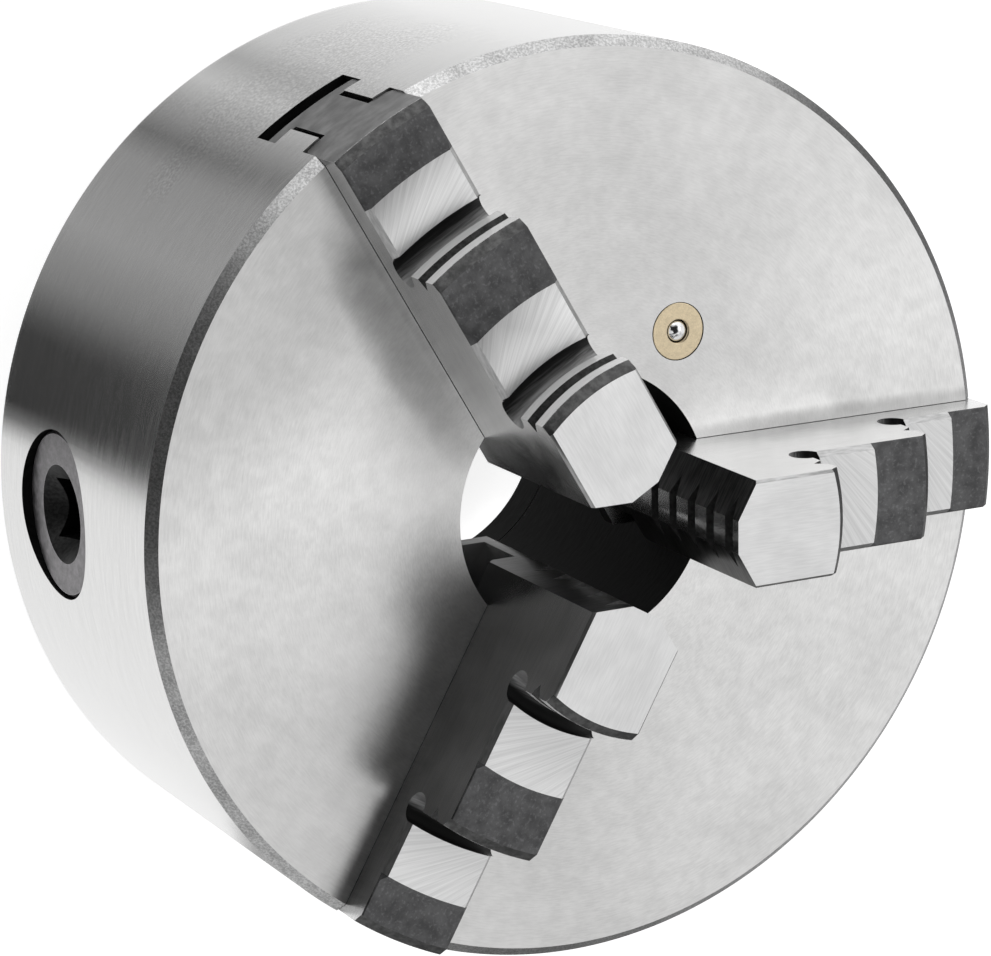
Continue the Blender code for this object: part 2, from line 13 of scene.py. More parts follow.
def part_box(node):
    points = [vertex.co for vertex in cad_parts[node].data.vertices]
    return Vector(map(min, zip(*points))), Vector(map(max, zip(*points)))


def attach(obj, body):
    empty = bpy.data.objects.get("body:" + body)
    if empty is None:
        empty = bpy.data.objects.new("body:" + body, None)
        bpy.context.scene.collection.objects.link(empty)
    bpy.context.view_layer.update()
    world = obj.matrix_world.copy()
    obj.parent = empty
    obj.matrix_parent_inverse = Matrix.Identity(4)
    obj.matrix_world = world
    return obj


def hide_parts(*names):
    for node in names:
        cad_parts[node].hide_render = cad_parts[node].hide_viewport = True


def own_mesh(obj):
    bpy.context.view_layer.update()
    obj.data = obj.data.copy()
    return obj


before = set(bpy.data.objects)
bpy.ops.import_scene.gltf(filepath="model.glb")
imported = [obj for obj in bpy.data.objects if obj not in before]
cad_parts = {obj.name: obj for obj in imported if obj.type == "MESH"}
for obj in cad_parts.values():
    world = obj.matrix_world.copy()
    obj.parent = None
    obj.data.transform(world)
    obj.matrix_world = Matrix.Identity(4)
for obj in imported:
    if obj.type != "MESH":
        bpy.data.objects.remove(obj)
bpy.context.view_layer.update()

MM = 0.001
GAP = 0.3 * MM

# Chuck body
BODY_R = 100 * MM
BODY_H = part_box("chuck_body")[1].z
BORE_R = 29.8 * MM
FRONT_CHAMFER = 2.2 * MM
REAR_CHAMFER = 1.5 * MM
REGISTER_R = 82.5 * MM
CAVITY_R = 81 * MM
CEILING_Z = 59 * MM
HUB_R = 42.5 * MM
HUB_END_Z = 15.6 * MM
SHOULDER_Z = 13.3 * MM
EDGE_BREAK = 0.8 * MM
SLOT_BREAK = 0.05 * MM
ROUND = 288

# Back cover, its screws and the mounting threads
COVER_Z = 6 * MM
COVER_RIM_R = 75 * MM
COVER_RIB_R = 52 * MM
COVER_RIB_TOP = 38.4 * MM
COVER_SCREWS = 6
COVER_SCREW_CIRCLE = 36.3 * MM
M6_R = 3 * MM
M6_HEAD_R = 5 * MM
M6_HEAD_H = 5.7 * MM
M6_REACH = 27 * MM
MOUNT_CIRCLE = 90 * MM
MOUNT_HOLE_R = 4.5 * MM
MOUNT_HOLE_DEPTH = 22 * MM

# Jaws
JAW_ANGLES = (150, 30, 270)
JAW_HALF_W = 11.45 * MM
JAW_TIP = 14.6 * MM
STRIP_HALF_W = 3.5 * MM
NOSE_SLOPE = math.tan(math.radians(30))
SERRATIONS = 5
SERRATION_PITCH = 7.6 * MM
SERRATION_DEPTH = 2.3 * MM
SERRATION_HALF = 1.5 * MM
JAW_END_R = 99.6 * MM
TOP_Z = 123.5 * MM
STEP_GROUND = (109.2 * MM, 93.6 * MM)
STEP_DROP = 0.9 * MM
RISER_R = (41.2 * MM, 72.8 * MM)
RISER_SPACING = RISER_R[1] - RISER_R[0]
STEP_DARK_R = (58 * MM, 88 * MM)
STEP_RAMP = 1.5 * MM
CHAMFER_SPACING = 15.4 * MM
LAND_CHAMFER = 1.9 * MM
UNDERCUT_R = 3.3 * MM
UNDERCUT_STEPS = 28
V_GROOVE_DEPTH = 2.5 * MM
V_GROOVE_HALF = 1.7 * MM
V_GROOVE_DROP = 6.5 * MM
EDGE_GROUND = 1.2 * MM
EDGE_FINE = 0.3 * MM
HEAD_Z = 77 * MM
HEAD_BEVEL = 1.2 * MM
FLANGE_TOP = 63 * MM
FLANGE_Z = 59.1 * MM
WEB_HALF_W = 5.7 * MM
THROAT_HALF_W = 7 * MM
SLOT_FLOOR = 54.5 * MM
SLOT_SIDE_GAP = 0.06 * MM
SPIRAL_PITCH = 8 * MM
SPIRAL_START = 45.5 * MM
JAW_TOOTH_W = 3 * MM
JAW_TOOTH_HALF_LEN = 7 * MM
JAW_TOOTH_Z = 54.6 * MM
JAW_TOOTH_BEND = 60 * MM
JAW_TEETH = 8
FIRST_TOOTH = 26 * MM

# Pinions and the screws that hold them
PINION_ANGLES = (210, 90, 330)
PINION_Z = 32.5 * MM
GEAR_MODULE = 2.667 * MM
GEAR_R = 80 * MM
GEAR_IN_R = 60 * MM
PINION_TEETH = 10
PRESSURE = math.radians(25)
TOOTH_SHARE = 0.46
PINION_ADDENDUM = 0.8
DEDENDUM = 1.0
JOURNAL_R = 18 * MM
JOURNAL_IN = 82 * MM
PINION_END = 98 * MM
PILOT_R = 5.8 * MM
PILOT_END = 36 * MM
GROOVE_R = 15 * MM
GROOVE_HALF = 3 * MM
GROOVE_AT = 89 * MM
SQUARE = 13 * MM
SOCKET_DEPTH = 16.5 * MM
SOCKET_MOUTH_R = 10.7 * MM
SOCKET_CONE_DEPTH = 4.6 * MM
M8_R = 3.9 * MM
DOG_R = 2.6 * MM
DOG_END = 17.1 * MM

# Ball oiler
OILER_AT = 42.3 * MM
OILER_ANGLE = 87
OILER_R = 6.2 * MM
OILER_DEPTH = 8 * MM
OILER_BORE_R = 3.1 * MM
OILER_GAP = 0.12 * MM
OIL_HOLE_R = 2.5 * MM
BALL_R = 2.7 * MM
BALL_Z = BODY_H + 0.7 * MM - BALL_R


# ---------------------------------------- mesh tools

def mesh_object(name, verts, faces, finish=0):
    """One object from points and faces, facing outward. finish is one slot number, or one a face."""
    mesh = bpy.data.meshes.new(name)
    bm = bmesh.new()
    points = [bm.verts.new(v) for v in verts]
    for number, face in enumerate(faces):
        made = bm.faces.new([points[i] for i in face])
        made.material_index = finish if isinstance(finish, int) else finish[number]
    bmesh.ops.recalc_face_normals(bm, faces=bm.faces)
    bm.to_mesh(mesh)
    bm.free()
    obj = bpy.data.objects.new(name, mesh)
    bpy.context.scene.collection.objects.link(obj)
    return obj


def ring_faces(rows, columns, close_rows):
    """Quads of a grid whose columns close on themselves."""
    last = rows if close_rows else rows - 1
    faces = []
    for i in range(last):
        for j in range(columns):
            a, b = i * columns, (i + 1) % rows * columns
            k = (j + 1) % columns
            faces.append((a + j, a + k, b + k, b + j))
    return faces


def turn_points(profile, steps):
    """Points of an (r, z) outline at even steps round Z."""
    turns = [2 * math.pi * j / steps for j in range(steps)]
    return [(r * math.cos(a), r * math.sin(a), z) for r, z in profile for a in turns]


def turned_ring(name, profile, steps, finish=0):
    """A closed (r, z) outline turned about Z, open in the middle."""
    return mesh_object(name, turn_points(profile, steps), ring_faces(len(profile), steps, True), finish)


def turned_solid(name, profile, steps, finish=0):
    """An (r, z) outline from its lower to its upper flat end, turned about Z."""
    faces = ring_faces(len(profile), steps, False)
    top = (len(profile) - 1) * steps
    faces += [tuple(range(steps)), tuple(range(top, top + steps))]
    return mesh_object(name, turn_points(profile, steps), faces, finish)


def prism(name, outline, low, high, finish=0):
    """A flat outline in XY between two heights."""
    n = len(outline)
    verts = [(x, y, low) for x, y in outline] + [(x, y, high) for x, y in outline]
    faces = [tuple(range(n)), tuple(range(n, 2 * n))]
    faces += [(i, (i + 1) % n, n + (i + 1) % n, n + i) for i in range(n)]
    return mesh_object(name, verts, faces, finish)


def box(name, low, high, finish=0):
    """Block between two corners."""
    outline = [(low[0], low[1]), (high[0], low[1]), (high[0], high[1]), (low[0], high[1])]
    return prism(name, outline, low[2], high[2], finish)


def lengthwise(outline, start, end, finish=0):
    """A (y, z) outline drawn out along X."""
    turn = Matrix(((0, 0, 1, 0), (1, 0, 0, 0), (0, 1, 0, 0), (0, 0, 0, 1)))
    return bake(prism("cutter", outline, start, end, finish), turn)


def spin(angle):
    """Turn about Z, in degrees."""
    return Matrix.Rotation(math.radians(angle), 4, "Z")


def along_x(angle, height):
    """Carries the Z axis of a turned piece to a radial line at a height above the rear rim."""
    return spin(angle) @ Matrix.Translation((0, 0, height)) @ Matrix.Rotation(math.pi / 2, 4, "Y")


def bake(obj, matrix):
    """Moves the mesh itself, so the object stays at the origin."""
    obj.data.transform(matrix)
    return obj


def combine(target, others, operation):
    """Exact boolean of the target with each other object; new faces keep their slot numbers."""
    for other in others:
        if not other.data.materials:
            for mat in target.data.materials:
                other.data.materials.append(mat)
        step = target.modifiers.new(operation.title(), "BOOLEAN")
        step.operation = operation
        step.solver = "EXACT"
        step.object = other
        bpy.context.view_layer.update()
        evaluated = target.evaluated_get(bpy.context.evaluated_depsgraph_get())
        mesh = bpy.data.meshes.new_from_object(evaluated)
        target.modifiers.clear()
        target.data = mesh
        bpy.data.objects.remove(other, do_unlink=True)
    return target


def painted(obj, *materials):
    """The object with its material slots filled in order."""
    for mat in materials:
        obj.data.materials.append(mat)
    return obj


def smooth(obj, sharp=32, weld=2e-6):
    """Welds what the cuts left apart and shades smooth between sharp edges."""
    bm = bmesh.new()
    bm.from_mesh(obj.data)
    bmesh.ops.remove_doubles(bm, verts=bm.verts, dist=weld)
    bmesh.ops.dissolve_limit(bm, angle_limit=math.radians(0.05), verts=bm.verts, edges=bm.edges,
                             delimit={"MATERIAL"})
    bm.to_mesh(obj.data)
    bm.free()
    obj.data.shade_smooth()
    obj.data.set_sharp_from_angle(angle=math.radians(sharp))
    return obj


def regular_polygon(across_flats, sides, phase=0.0):
    """Corners of a polygon, from its size over the flats."""
    r = across_flats / 2 / math.cos(math.pi / sides)
    turns = [2 * math.pi * i / sides + phase for i in range(sides)]
    return [(r * math.cos(a), r * math.sin(a)) for a in turns]


def mount(obj, matrix, body, slot, *nodes):
    """Puts a finished piece in its place: the body it rides on and what it stands for. The slot argument
    is not used.
    """
    obj.matrix_world = matrix
    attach(obj, body)
    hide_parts(*nodes)
    return obj


# ---------------------------------------- materials

class Finish:
    """A Principled material with short calls for the nodes that drive it."""

    def __init__(self, name, roughness=0.3, metallic=1.0, anisotropic=0.0):
        self.material = bpy.data.materials.new(name)
        self.material.use_nodes = True
        self.tree = self.material.node_tree
        self.shader = self.tree.nodes["Principled BSDF"]
        self.shader.inputs["Metallic"].default_value = metallic
        self.shader.inputs["Roughness"].default_value = roughness
        self.shader.inputs["Anisotropic"].default_value = anisotropic
        self.place = self.make("ShaderNodeTexCoord").outputs["Object"]

    def feed(self, socket, value):
        if isinstance(value, bpy.types.NodeSocket):
            self.tree.links.new(value, socket)
        else:
            socket.default_value = value

    def make(self, kind, inputs=None, **settings):
        node = self.tree.nodes.new(kind)
        for key, value in settings.items():
            setattr(node, key, value)
        for key, value in (inputs or {}).items():
            self.feed(node.inputs[key], value)
        return node

    def maths(self, operation, a, b=0.0):
        return self.make("ShaderNodeMath", {0: a, 1: b}, operation=operation).outputs[0]

    def axes(self, vector):
        split = self.make("ShaderNodeSeparateXYZ", {0: vector})
        return split.outputs[0], split.outputs[1], split.outputs[2]

    def vector(self, x, y, z):
        return self.make("ShaderNodeCombineXYZ", {0: x, 1: y, 2: z}).outputs[0]

    def stretch(self, vector, *scale):
        return self.make("ShaderNodeVectorMath", {0: vector, 1: scale}, operation="MULTIPLY").outputs[0]

    def measure(self, operation, a, b):
        """The number that two vectors give, such as their distance."""
        node = self.make("ShaderNodeVectorMath", {0: a, 1: b}, operation=operation)
        return node.outputs["Value"]

    def noise(self, vector, scale=1.0, detail=2.0, rough=0.5):
        node = self.make("ShaderNodeTexNoise", {"Vector": vector, "Scale": scale, "Detail": detail,
                                                "Roughness": rough})
        return node.outputs[0]

    def spread(self, value, low, high, dark, bright):
        """Carries value from low..high to dark..bright, clamped, with soft ends."""
        node = self.make("ShaderNodeMapRange", {0: value, 1: low, 2: high, 3: dark, 4: bright},
                         interpolation_type="SMOOTHSTEP")
        return node.outputs[0]

    def sum_of(self, *parts):
        """Sum of spreads, each given as (value, low, high, dark, bright)."""
        total = self.spread(*parts[0])
        for part in parts[1:]:
            total = self.maths("ADD", total, self.spread(*part))
        return total

    def mix(self, factor, a, b):
        return self.make("ShaderNodeMix", {0: factor, 2: a, 3: b}, data_type="FLOAT").outputs[0]

    def grey(self, value, tint=(1.0, 1.0, 1.0)):
        parts = [value if t == 1 else self.maths("MULTIPLY", value, t) for t in tint]
        self.feed(self.shader.inputs["Base Color"],
                  self.make("ShaderNodeCombineColor", dict(enumerate(parts))).outputs[0])

    def rough(self, value):
        self.feed(self.shader.inputs["Roughness"], value)

    def bump(self, height, depth, strength=1.0):
        node = self.make("ShaderNodeBump", {"Strength": strength, "Distance": depth, "Height": height})
        self.feed(self.shader.inputs["Normal"], node.outputs[0])

    def turned_tangent(self):
        node = self.make("ShaderNodeTangent", direction_type="RADIAL", axis="Z")
        self.feed(self.shader.inputs["Tangent"], node.outputs[0])

    def radius(self):
        """Distance from the Z axis."""
        x, y, _ = self.axes(self.place)
        squares = self.maths("MULTIPLY", x, x), self.maths("MULTIPLY", y, y)
        return self.maths("SQRT", self.maths("ADD", *squares))

    def polar(self, arc, radial, axial):
        """Coordinates that run round the Z axis without a seam: counts per radian and per metre."""
        x, y, z = self.axes(self.place)
        radius = self.radius()
        parts = self.maths("MULTIPLY", radius, radial), self.maths("MULTIPLY", z, axial)
        depth = self.maths("ADD", *parts)
        turn_x = self.maths("MULTIPLY", self.maths("DIVIDE", x, radius), arc)
        turn_y = self.maths("MULTIPLY", self.maths("DIVIDE", y, radius), arc)
        return self.vector(depth, turn_x, turn_y)


# Painted shade on the front face beside the jaws, standing in for the jaws' shadow and dark reflection:
# polar direction, then millimetres along it, to its left, half length and half width, then depth
JAW_SHADES_ON_FACE = ((150, 57, 17, 25, 6.0, 0.44), (150, 74, 12.2, 34, 1.3, 0.2), (30, 66, 12, 44, 2.6, 0.4),
          (172, 96, 0, 28, 48, 0.32))


def painted_jaw_shade(f, angle, along, across, half_length, half_width, depth):
    """Soft painted shade beside a jaw on the front face, for the jaw's shadow and dark reflection, in
    millimetres: 1 outside, darker inside.
    """
    x, y, z = f.axes(f.place)
    c, s = math.cos(math.radians(angle)), math.sin(math.radians(angle))
    u = f.maths("ADD", f.maths("MULTIPLY", x, c), f.maths("MULTIPLY", y, s))
    v = f.maths("SUBTRACT", f.maths("MULTIPLY", y, c), f.maths("MULTIPLY", x, s))
    u = f.maths("DIVIDE", f.maths("SUBTRACT", u, along * MM), half_length * MM)
    v = f.maths("DIVIDE", f.maths("SUBTRACT", v, across * MM), half_width * MM)
    away = f.maths("ADD", f.maths("MULTIPLY", u, u), f.maths("MULTIPLY", v, v))
    ragged = f.maths("ADD", away, f.spread(f.noise(f.place, 200, detail=2), 0.3, 0.7, -0.08, 0.08))
    front = f.maths("GREATER_THAN", z, BODY_H / 2)
    return f.mix(front, 1.0, f.spread(ragged, -0.1, 2.0, 1.0 - depth, 1.0))


def face_steel():
    """Fine-turned front face: short streaks round the axis, faint clouding and painted shade beside the
    jaws.
    """
    f = Finish("turned_face_steel", anisotropic=0.55)
    f.turned_tangent()
    streak = f.noise(f.polar(34, 3300, 0), detail=3)
    cloud = f.noise(f.place, 38, detail=4, rough=0.6)
    mottle = f.noise(f.place, 260, detail=3, rough=0.6)
    tone = f.sum_of((streak, 0.25, 0.75, 0.67, 0.76), (cloud, 0.3, 0.7, -0.04, 0.03),
                    (mottle, 0.3, 0.7, -0.03, 0.03))
    # Painted shade: darken the face beside the jaws
    for place in JAW_SHADES_ON_FACE:
        tone = f.maths("MULTIPLY", tone, painted_jaw_shade(f, *place))
    f.grey(tone, (1.0, 0.997, 0.99))
    f.rough(f.spread(streak, 0.3, 0.7, 0.3, 0.36))
    f.bump(streak, 4e-6, 0.5)
    return f.material


# Middle of the worn patch on the side wall
WORN_SPOT = (-84 * MM, 54 * MM, 42 * MM)


def side_steel():
    """Ground cylinder: close circumferential lines, and a worn, speckled patch."""
    f = Finish("ground_side_steel", anisotropic=0.5)
    f.turned_tangent()
    line = f.noise(f.polar(14, 0, 2600), detail=3)
    speck = f.noise(f.stretch(f.place, 1500, 1500, 1500), detail=2)
    reach = f.measure("DISTANCE", f.place, WORN_SPOT)
    edge = f.spread(f.noise(f.place, 60, detail=3), 0.3, 0.7, -9 * MM, 9 * MM)
    ragged = f.maths("ADD", reach, edge)
    patch = f.spread(ragged, 16 * MM, 40 * MM, 1.0, 0.08)
    mottle = f.maths("MULTIPLY", patch, f.spread(speck, 0.35, 0.7, -0.13, 0.1))
    tone = f.maths("ADD", f.spread(line, 0.25, 0.75, 0.66, 0.73), mottle)
    f.grey(tone, (1.0, 0.998, 0.992))
    f.rough(f.spread(line, 0.3, 0.7, 0.17, 0.22))
    f.bump(line, 3e-6, 0.5)
    return f.material


def chamfer_steel():
    """Coarser turned chamfer with a grainy, speckled look."""
    f = Finish("turned_chamfer_steel")
    grain = f.noise(f.place, 2100, detail=3, rough=0.7)
    patch = f.noise(f.place, 160, detail=2)
    tone = f.sum_of((grain, 0.36, 0.66, 0.34, 0.62), (patch, 0.3, 0.7, -0.05, 0.06))
    f.grey(tone)
    f.rough(0.3)
    f.bump(grain, 2e-5, 0.6)
    return f.material


def slot_steel():
    """Milled and ground guide slot walls."""
    f = Finish("slot_steel")
    line = f.noise(f.stretch(f.place, 700, 700, 2400), detail=3)
    f.grey(f.spread(line, 0.25, 0.75, 0.3, 0.42))
    f.rough(f.spread(line, 0.3, 0.7, 0.35, 0.45))
    f.bump(line, 6e-6, 0.5)
    return f.material


def bore_painted_shade():
    """Bore and inner surfaces painted near-black without specular, a painted shade for these recesses.
    """
    f = Finish("bore_painted_shade", metallic=0.25)
    f.shader.inputs["Specular IOR Level"].default_value = 0.0
    line = f.noise(f.polar(10, 600, 1800), detail=3)
    # Painted shade: near-black colour stands in for the shade inside the bore and recesses
    f.grey(f.spread(line, 0.2, 0.8, 0.006, 0.018))
    f.rough(f.spread(line, 0.3, 0.7, 0.4, 0.52))
    f.bump(line, 1e-5, 0.5)
    return f.material


def jaw_side_steel():
    """Flanks and nose of a jaw, surface-ground along its length."""
    f = Finish("jaw_flank_steel")
    line = f.noise(f.stretch(f.place, 160, 3000, 3000), detail=3)
    cloud = f.noise(f.place, 90, detail=3)
    tone = f.sum_of((line, 0.25, 0.75, 0.63, 0.72), (cloud, 0.3, 0.7, -0.03, 0.03))
    f.grey(tone)
    f.rough(f.spread(cloud, 0.3, 0.7, 0.2, 0.27))
    f.bump(line, 5e-6, 0.6)
    return f.material


def fan_turn(f):
    """Angle round a point beside the step, which the wheel marks on the flat fan out from."""
    x, y, z = f.axes(f.place)
    offset = f.maths("FLOORED_MODULO", f.maths("SUBTRACT", x, RISER_R[0]), RISER_SPACING)
    turn = f.maths("ARCTAN2", f.maths("SUBTRACT", 25 * MM, y), f.maths("ADD", offset, 9 * MM))
    return turn, x, z


def jaw_step_steel():
    """Ground work steps: wheel marks that fan out across the flat."""
    f = Finish("jaw_step_steel")
    turn, x, z = fan_turn(f)
    marks = f.noise(f.vector(f.maths("MULTIPLY", turn, 46), f.maths("MULTIPLY", x, 60), z), detail=2)
    fine = f.noise(f.vector(f.maths("MULTIPLY", turn, 170), f.maths("MULTIPLY", x, 120), z), detail=2)
    tone = f.sum_of((marks, 0.34, 0.66, 0.6, 0.68), (fine, 0.35, 0.65, -0.03, 0.03))
    f.grey(tone)
    f.rough(0.32)
    f.bump(marks, 6e-6, 0.5)
    return f.material


def nose_steel():
    """Finely ground top of the nose: a soft satin with hair lines."""
    f = Finish("jaw_nose_steel")
    line = f.noise(f.stretch(f.place, 220, 2600, 900), detail=2)
    cloud = f.noise(f.place, 120, detail=2)
    tone = f.sum_of((line, 0.3, 0.7, 0.69, 0.75), (cloud, 0.3, 0.7, -0.03, 0.03))
    f.grey(tone)
    f.rough(0.28)
    f.bump(line, 3e-6, 0.5)
    return f.material


def edge_wear(f, reach=0.35 * MM):
    """0 on the open surface, rising to 1 on rubbed outer edges."""
    rounded = f.make("ShaderNodeBevel", {"Radius": reach}, samples=4).outputs[0]
    plain = f.make("ShaderNodeNewGeometry").outputs["Normal"]
    turn = f.measure("DOT_PRODUCT", rounded, plain)
    chips = f.spread(f.noise(f.place, 900, detail=3), 0.35, 0.6, 0.25, 1.0)
    return f.maths("MULTIPLY", f.spread(turn, 0.99, 0.9, 0.0, 1.0), chips)


def oxide_steel():
    """Blackened jaw steel with a mottled scale and rubbed edges."""
    f = Finish("blackened_jaw_steel", metallic=0.9)
    mottle = f.noise(f.place, 240, detail=5, rough=0.65)
    fleck = f.noise(f.place, 1400, detail=2)
    tone = f.sum_of((mottle, 0.3, 0.7, 0.06, 0.125), (fleck, 0.52, 0.75, 0.0, 0.05))
    f.grey(tone, (1.0, 1.0, 1.02))
    f.rough(f.spread(mottle, 0.3, 0.7, 0.38, 0.52))
    f.bump(mottle, 3e-5, 0.5)
    return f.material


def corner_steel():
    """Dark chamfers at the top of the risers, rubbed bright along their lower, outer corner."""
    f = Finish("jaw_chamfer_steel", metallic=0.6)
    mottle = f.noise(f.place, 500, detail=4, rough=0.65)
    tone = f.spread(mottle, 0.3, 0.7, 0.04, 0.11)
    z = f.axes(f.place)[2]
    drop = f.maths("FLOORED_MODULO", f.maths("SUBTRACT", TOP_Z + 0.3 * MM, z), CHAMFER_SPACING)
    outer = f.spread(drop, 1.1 * MM, 1.9 * MM, 0.0, 1.0)
    f.grey(f.mix(f.maths("MULTIPLY", outer, edge_wear(f, 0.3 * MM)), tone, 0.75))
    f.rough(0.36)
    f.bump(mottle, 2e-5, 0.5)
    return f.material


def edge_steel():
    """Hand-broken long edges beside the ground flats, slightly grainy."""
    f = Finish("jaw_edge_steel")
    grain = f.noise(f.stretch(f.place, 300, 1400, 1400), detail=4, rough=0.65)
    f.grey(f.spread(grain, 0.3, 0.7, 0.36, 0.56))
    f.rough(0.3)
    f.bump(grain, 1.5e-5, 0.6)
    return f.material


def bevel_steel():
    """Dark ground bevels of the nose with close hatch marks across the face."""
    f = Finish("jaw_bevel_steel", metallic=0.9)
    hatch = f.noise(f.stretch(f.place, 160, 160, 2600), detail=2)
    cloud = f.noise(f.place, 110, detail=3)
    tone = f.sum_of((hatch, 0.38, 0.64, 0.03, 0.075), (cloud, 0.35, 0.7, -0.015, 0.03))
    f.grey(tone)
    f.rough(0.33)
    f.bump(hatch, 1e-5, 0.6)
    return f.material


def tail_steel():
    """Outer end of a jaw, darkened, with smeared machining marks."""
    f = Finish("jaw_end_steel", metallic=0.95)
    blotch = f.noise(f.stretch(f.place, 220, 150, 260), detail=5, rough=0.62)
    f.grey(f.mix(edge_wear(f, 0.25 * MM), f.spread(blotch, 0.3, 0.75, 0.12, 0.26), 0.4))
    f.rough(f.spread(blotch, 0.3, 0.7, 0.34, 0.45))
    f.bump(blotch, 2e-5, 0.5)
    return f.material


def groove_steel():
    """Unground, dark machined reliefs and grooves."""
    f = Finish("relief_painted_shade", metallic=0.9)
    grain = f.noise(f.stretch(f.place, 900, 900, 900), detail=4, rough=0.65)
    f.grey(f.spread(grain, 0.3, 0.7, 0.03, 0.065))
    f.rough(0.42)
    f.bump(grain, 2e-5, 0.6)
    return f.material


def relief_painted_shade():
    """Milled relief at the foot of a riser, with painted shade: black on the step's side, grading to
    grey under the riser.
    """
    f = Finish("undercut_painted_shade", metallic=0.35)
    beyond = f.maths("SUBTRACT", f.radius(), RISER_R[0] - 5 * MM)
    offset = f.maths("FLOORED_MODULO", beyond, RISER_SPACING)
    line = f.noise(f.stretch(f.place, 2200, 120, 2200), detail=3)
    ragged = f.maths("ADD", offset, f.spread(line, 0.3, 0.7, -0.5 * MM, 0.5 * MM))
    # Painted shade: near-black at the relief's opening on the step's side, grading to grey under the
    # riser
    f.grey(f.spread(ragged, 1.5 * MM, 5.6 * MM, 0.4, 0.004))
    f.rough(0.36)
    f.bump(line, 1e-5, 0.6)
    return f.material


def land_steel():
    """Bright ground lands of the risers."""
    f = Finish("ground_land_steel", metallic=0.35)
    line = f.noise(f.stretch(f.place, 2600, 200, 2600), detail=3)
    f.grey(f.spread(line, 0.3, 0.7, 0.88, 0.97))
    f.rough(0.25)
    f.bump(line, 4e-6, 0.5)
    return f.material


def pinion_steel():
    """Turned end of the pinion, slightly browned."""
    f = Finish("pinion_end_steel")
    line = f.noise(f.polar(16, 2600, 900), detail=3)
    mottle = f.noise(f.place, 420, detail=4, rough=0.6)
    tone = f.sum_of((line, 0.3, 0.7, 0.15, 0.19), (mottle, 0.35, 0.7, -0.045, 0.06))
    f.grey(f.mix(edge_wear(f, 0.3 * MM), tone, 0.5), (1.0, 0.965, 1.0))
    f.rough(f.spread(mottle, 0.3, 0.7, 0.34, 0.44))
    f.bump(line, 8e-6, 0.6)
    return f.material


def socket_steel():
    """Dark broached square and cone."""
    f = Finish("socket_steel", metallic=0.9)
    grain = f.noise(f.stretch(f.place, 1500, 1500, 300), detail=3)
    f.grey(f.spread(grain, 0.3, 0.7, 0.012, 0.03))
    f.rough(0.45)
    f.bump(grain, 1e-5, 0.6)
    return f.material


def brass():
    """Pale oiler brass, turned."""
    f = Finish("oiler_brass")
    line = f.noise(f.polar(12, 5200, 900), detail=3)
    mottle = f.noise(f.place, 900, detail=3)
    tone = f.sum_of((line, 0.3, 0.7, 0.6, 0.72), (mottle, 0.3, 0.7, -0.04, 0.04))
    f.grey(tone, (1.0, 0.84, 0.58))
    f.rough(0.34)
    f.bump(line, 6e-6, 0.5)
    return f.material


def ball_steel():
    """Hard polished ball with faint handling scratches."""
    f = Finish("polished_ball_steel")
    scratch = f.noise(f.stretch(f.place, 900, 5200, 2600), detail=4)
    f.grey(f.spread(scratch, 0.3, 0.7, 0.7, 0.82))
    f.rough(f.spread(scratch, 0.4, 0.7, 0.08, 0.16))
    f.bump(scratch, 1.5e-6, 0.5)
    return f.material


def screw_steel():
    """Blackened screws with rubbed high spots."""
    f = Finish("blackened_screw_steel", metallic=0.9)
    mottle = f.noise(f.place, 700, detail=4, rough=0.6)
    f.grey(f.spread(mottle, 0.35, 0.75, 0.035, 0.11))
    f.rough(f.spread(mottle, 0.3, 0.7, 0.35, 0.5))
    f.bump(mottle, 8e-6, 0.5)
    return f.material


def gear_steel():
    """Machined gear and scroll surfaces with a film of oil."""
    f = Finish("gear_steel")
    line = f.noise(f.polar(20, 1500, 1500), detail=3)
    f.grey(f.spread(line, 0.3, 0.7, 0.24, 0.34))
    f.rough(f.spread(line, 0.3, 0.7, 0.25, 0.38))
    f.bump(line, 1e-5, 0.5)
    return f.material


# ---------------------------------------- chuck body

FACE, SIDE, CHAMFER, SLOT, BORE = range(5)


def drills(profile, circle, angles, steps=32):
    """Cutters of one turned profile, on a circle of holes along Z."""
    cutters = []
    for angle in angles:
        drill = turned_solid("drill", profile, steps, BORE)
        cutters.append(bake(drill, spin(angle) @ Matrix.Translation((circle, 0, 0))))
    return cutters


def holes(radius, circle, angles, low, high, steps=32):
    """Plain round cutters on a circle."""
    return drills([(radius, low), (radius, high)], circle, angles, steps)


def screw_angles():
    """Polar angles of the cover screws."""
    return [i * 360 / COVER_SCREWS for i in range(COVER_SCREWS)]


def slot_cutter(angle):
    """Guide slot of one jaw with its upper edges broken."""
    head = JAW_HALF_W + SLOT_SIDE_GAP
    rail_top, rail_low = HEAD_Z - GAP, FLANGE_TOP + GAP
    half = [(head, SLOT_FLOOR), (head, rail_low), (THROAT_HALF_W, rail_low),
            (THROAT_HALF_W, rail_top), (head, rail_top), (head, BODY_H - SLOT_BREAK),
            (head + SLOT_BREAK, BODY_H), (head + SLOT_BREAK, BODY_H + 5 * MM)]
    outline = half + [(-v, z) for v, z in reversed(half)]
    lows = [min(a[1], b[1]) for a, b in zip(outline, outline[1:] + outline[:1])]
    walls = [SLOT if low >= rail_top else BORE for low in lows]
    return bake(lengthwise(outline, 20 * MM, 110 * MM, [BORE, BORE] + walls), spin(angle))


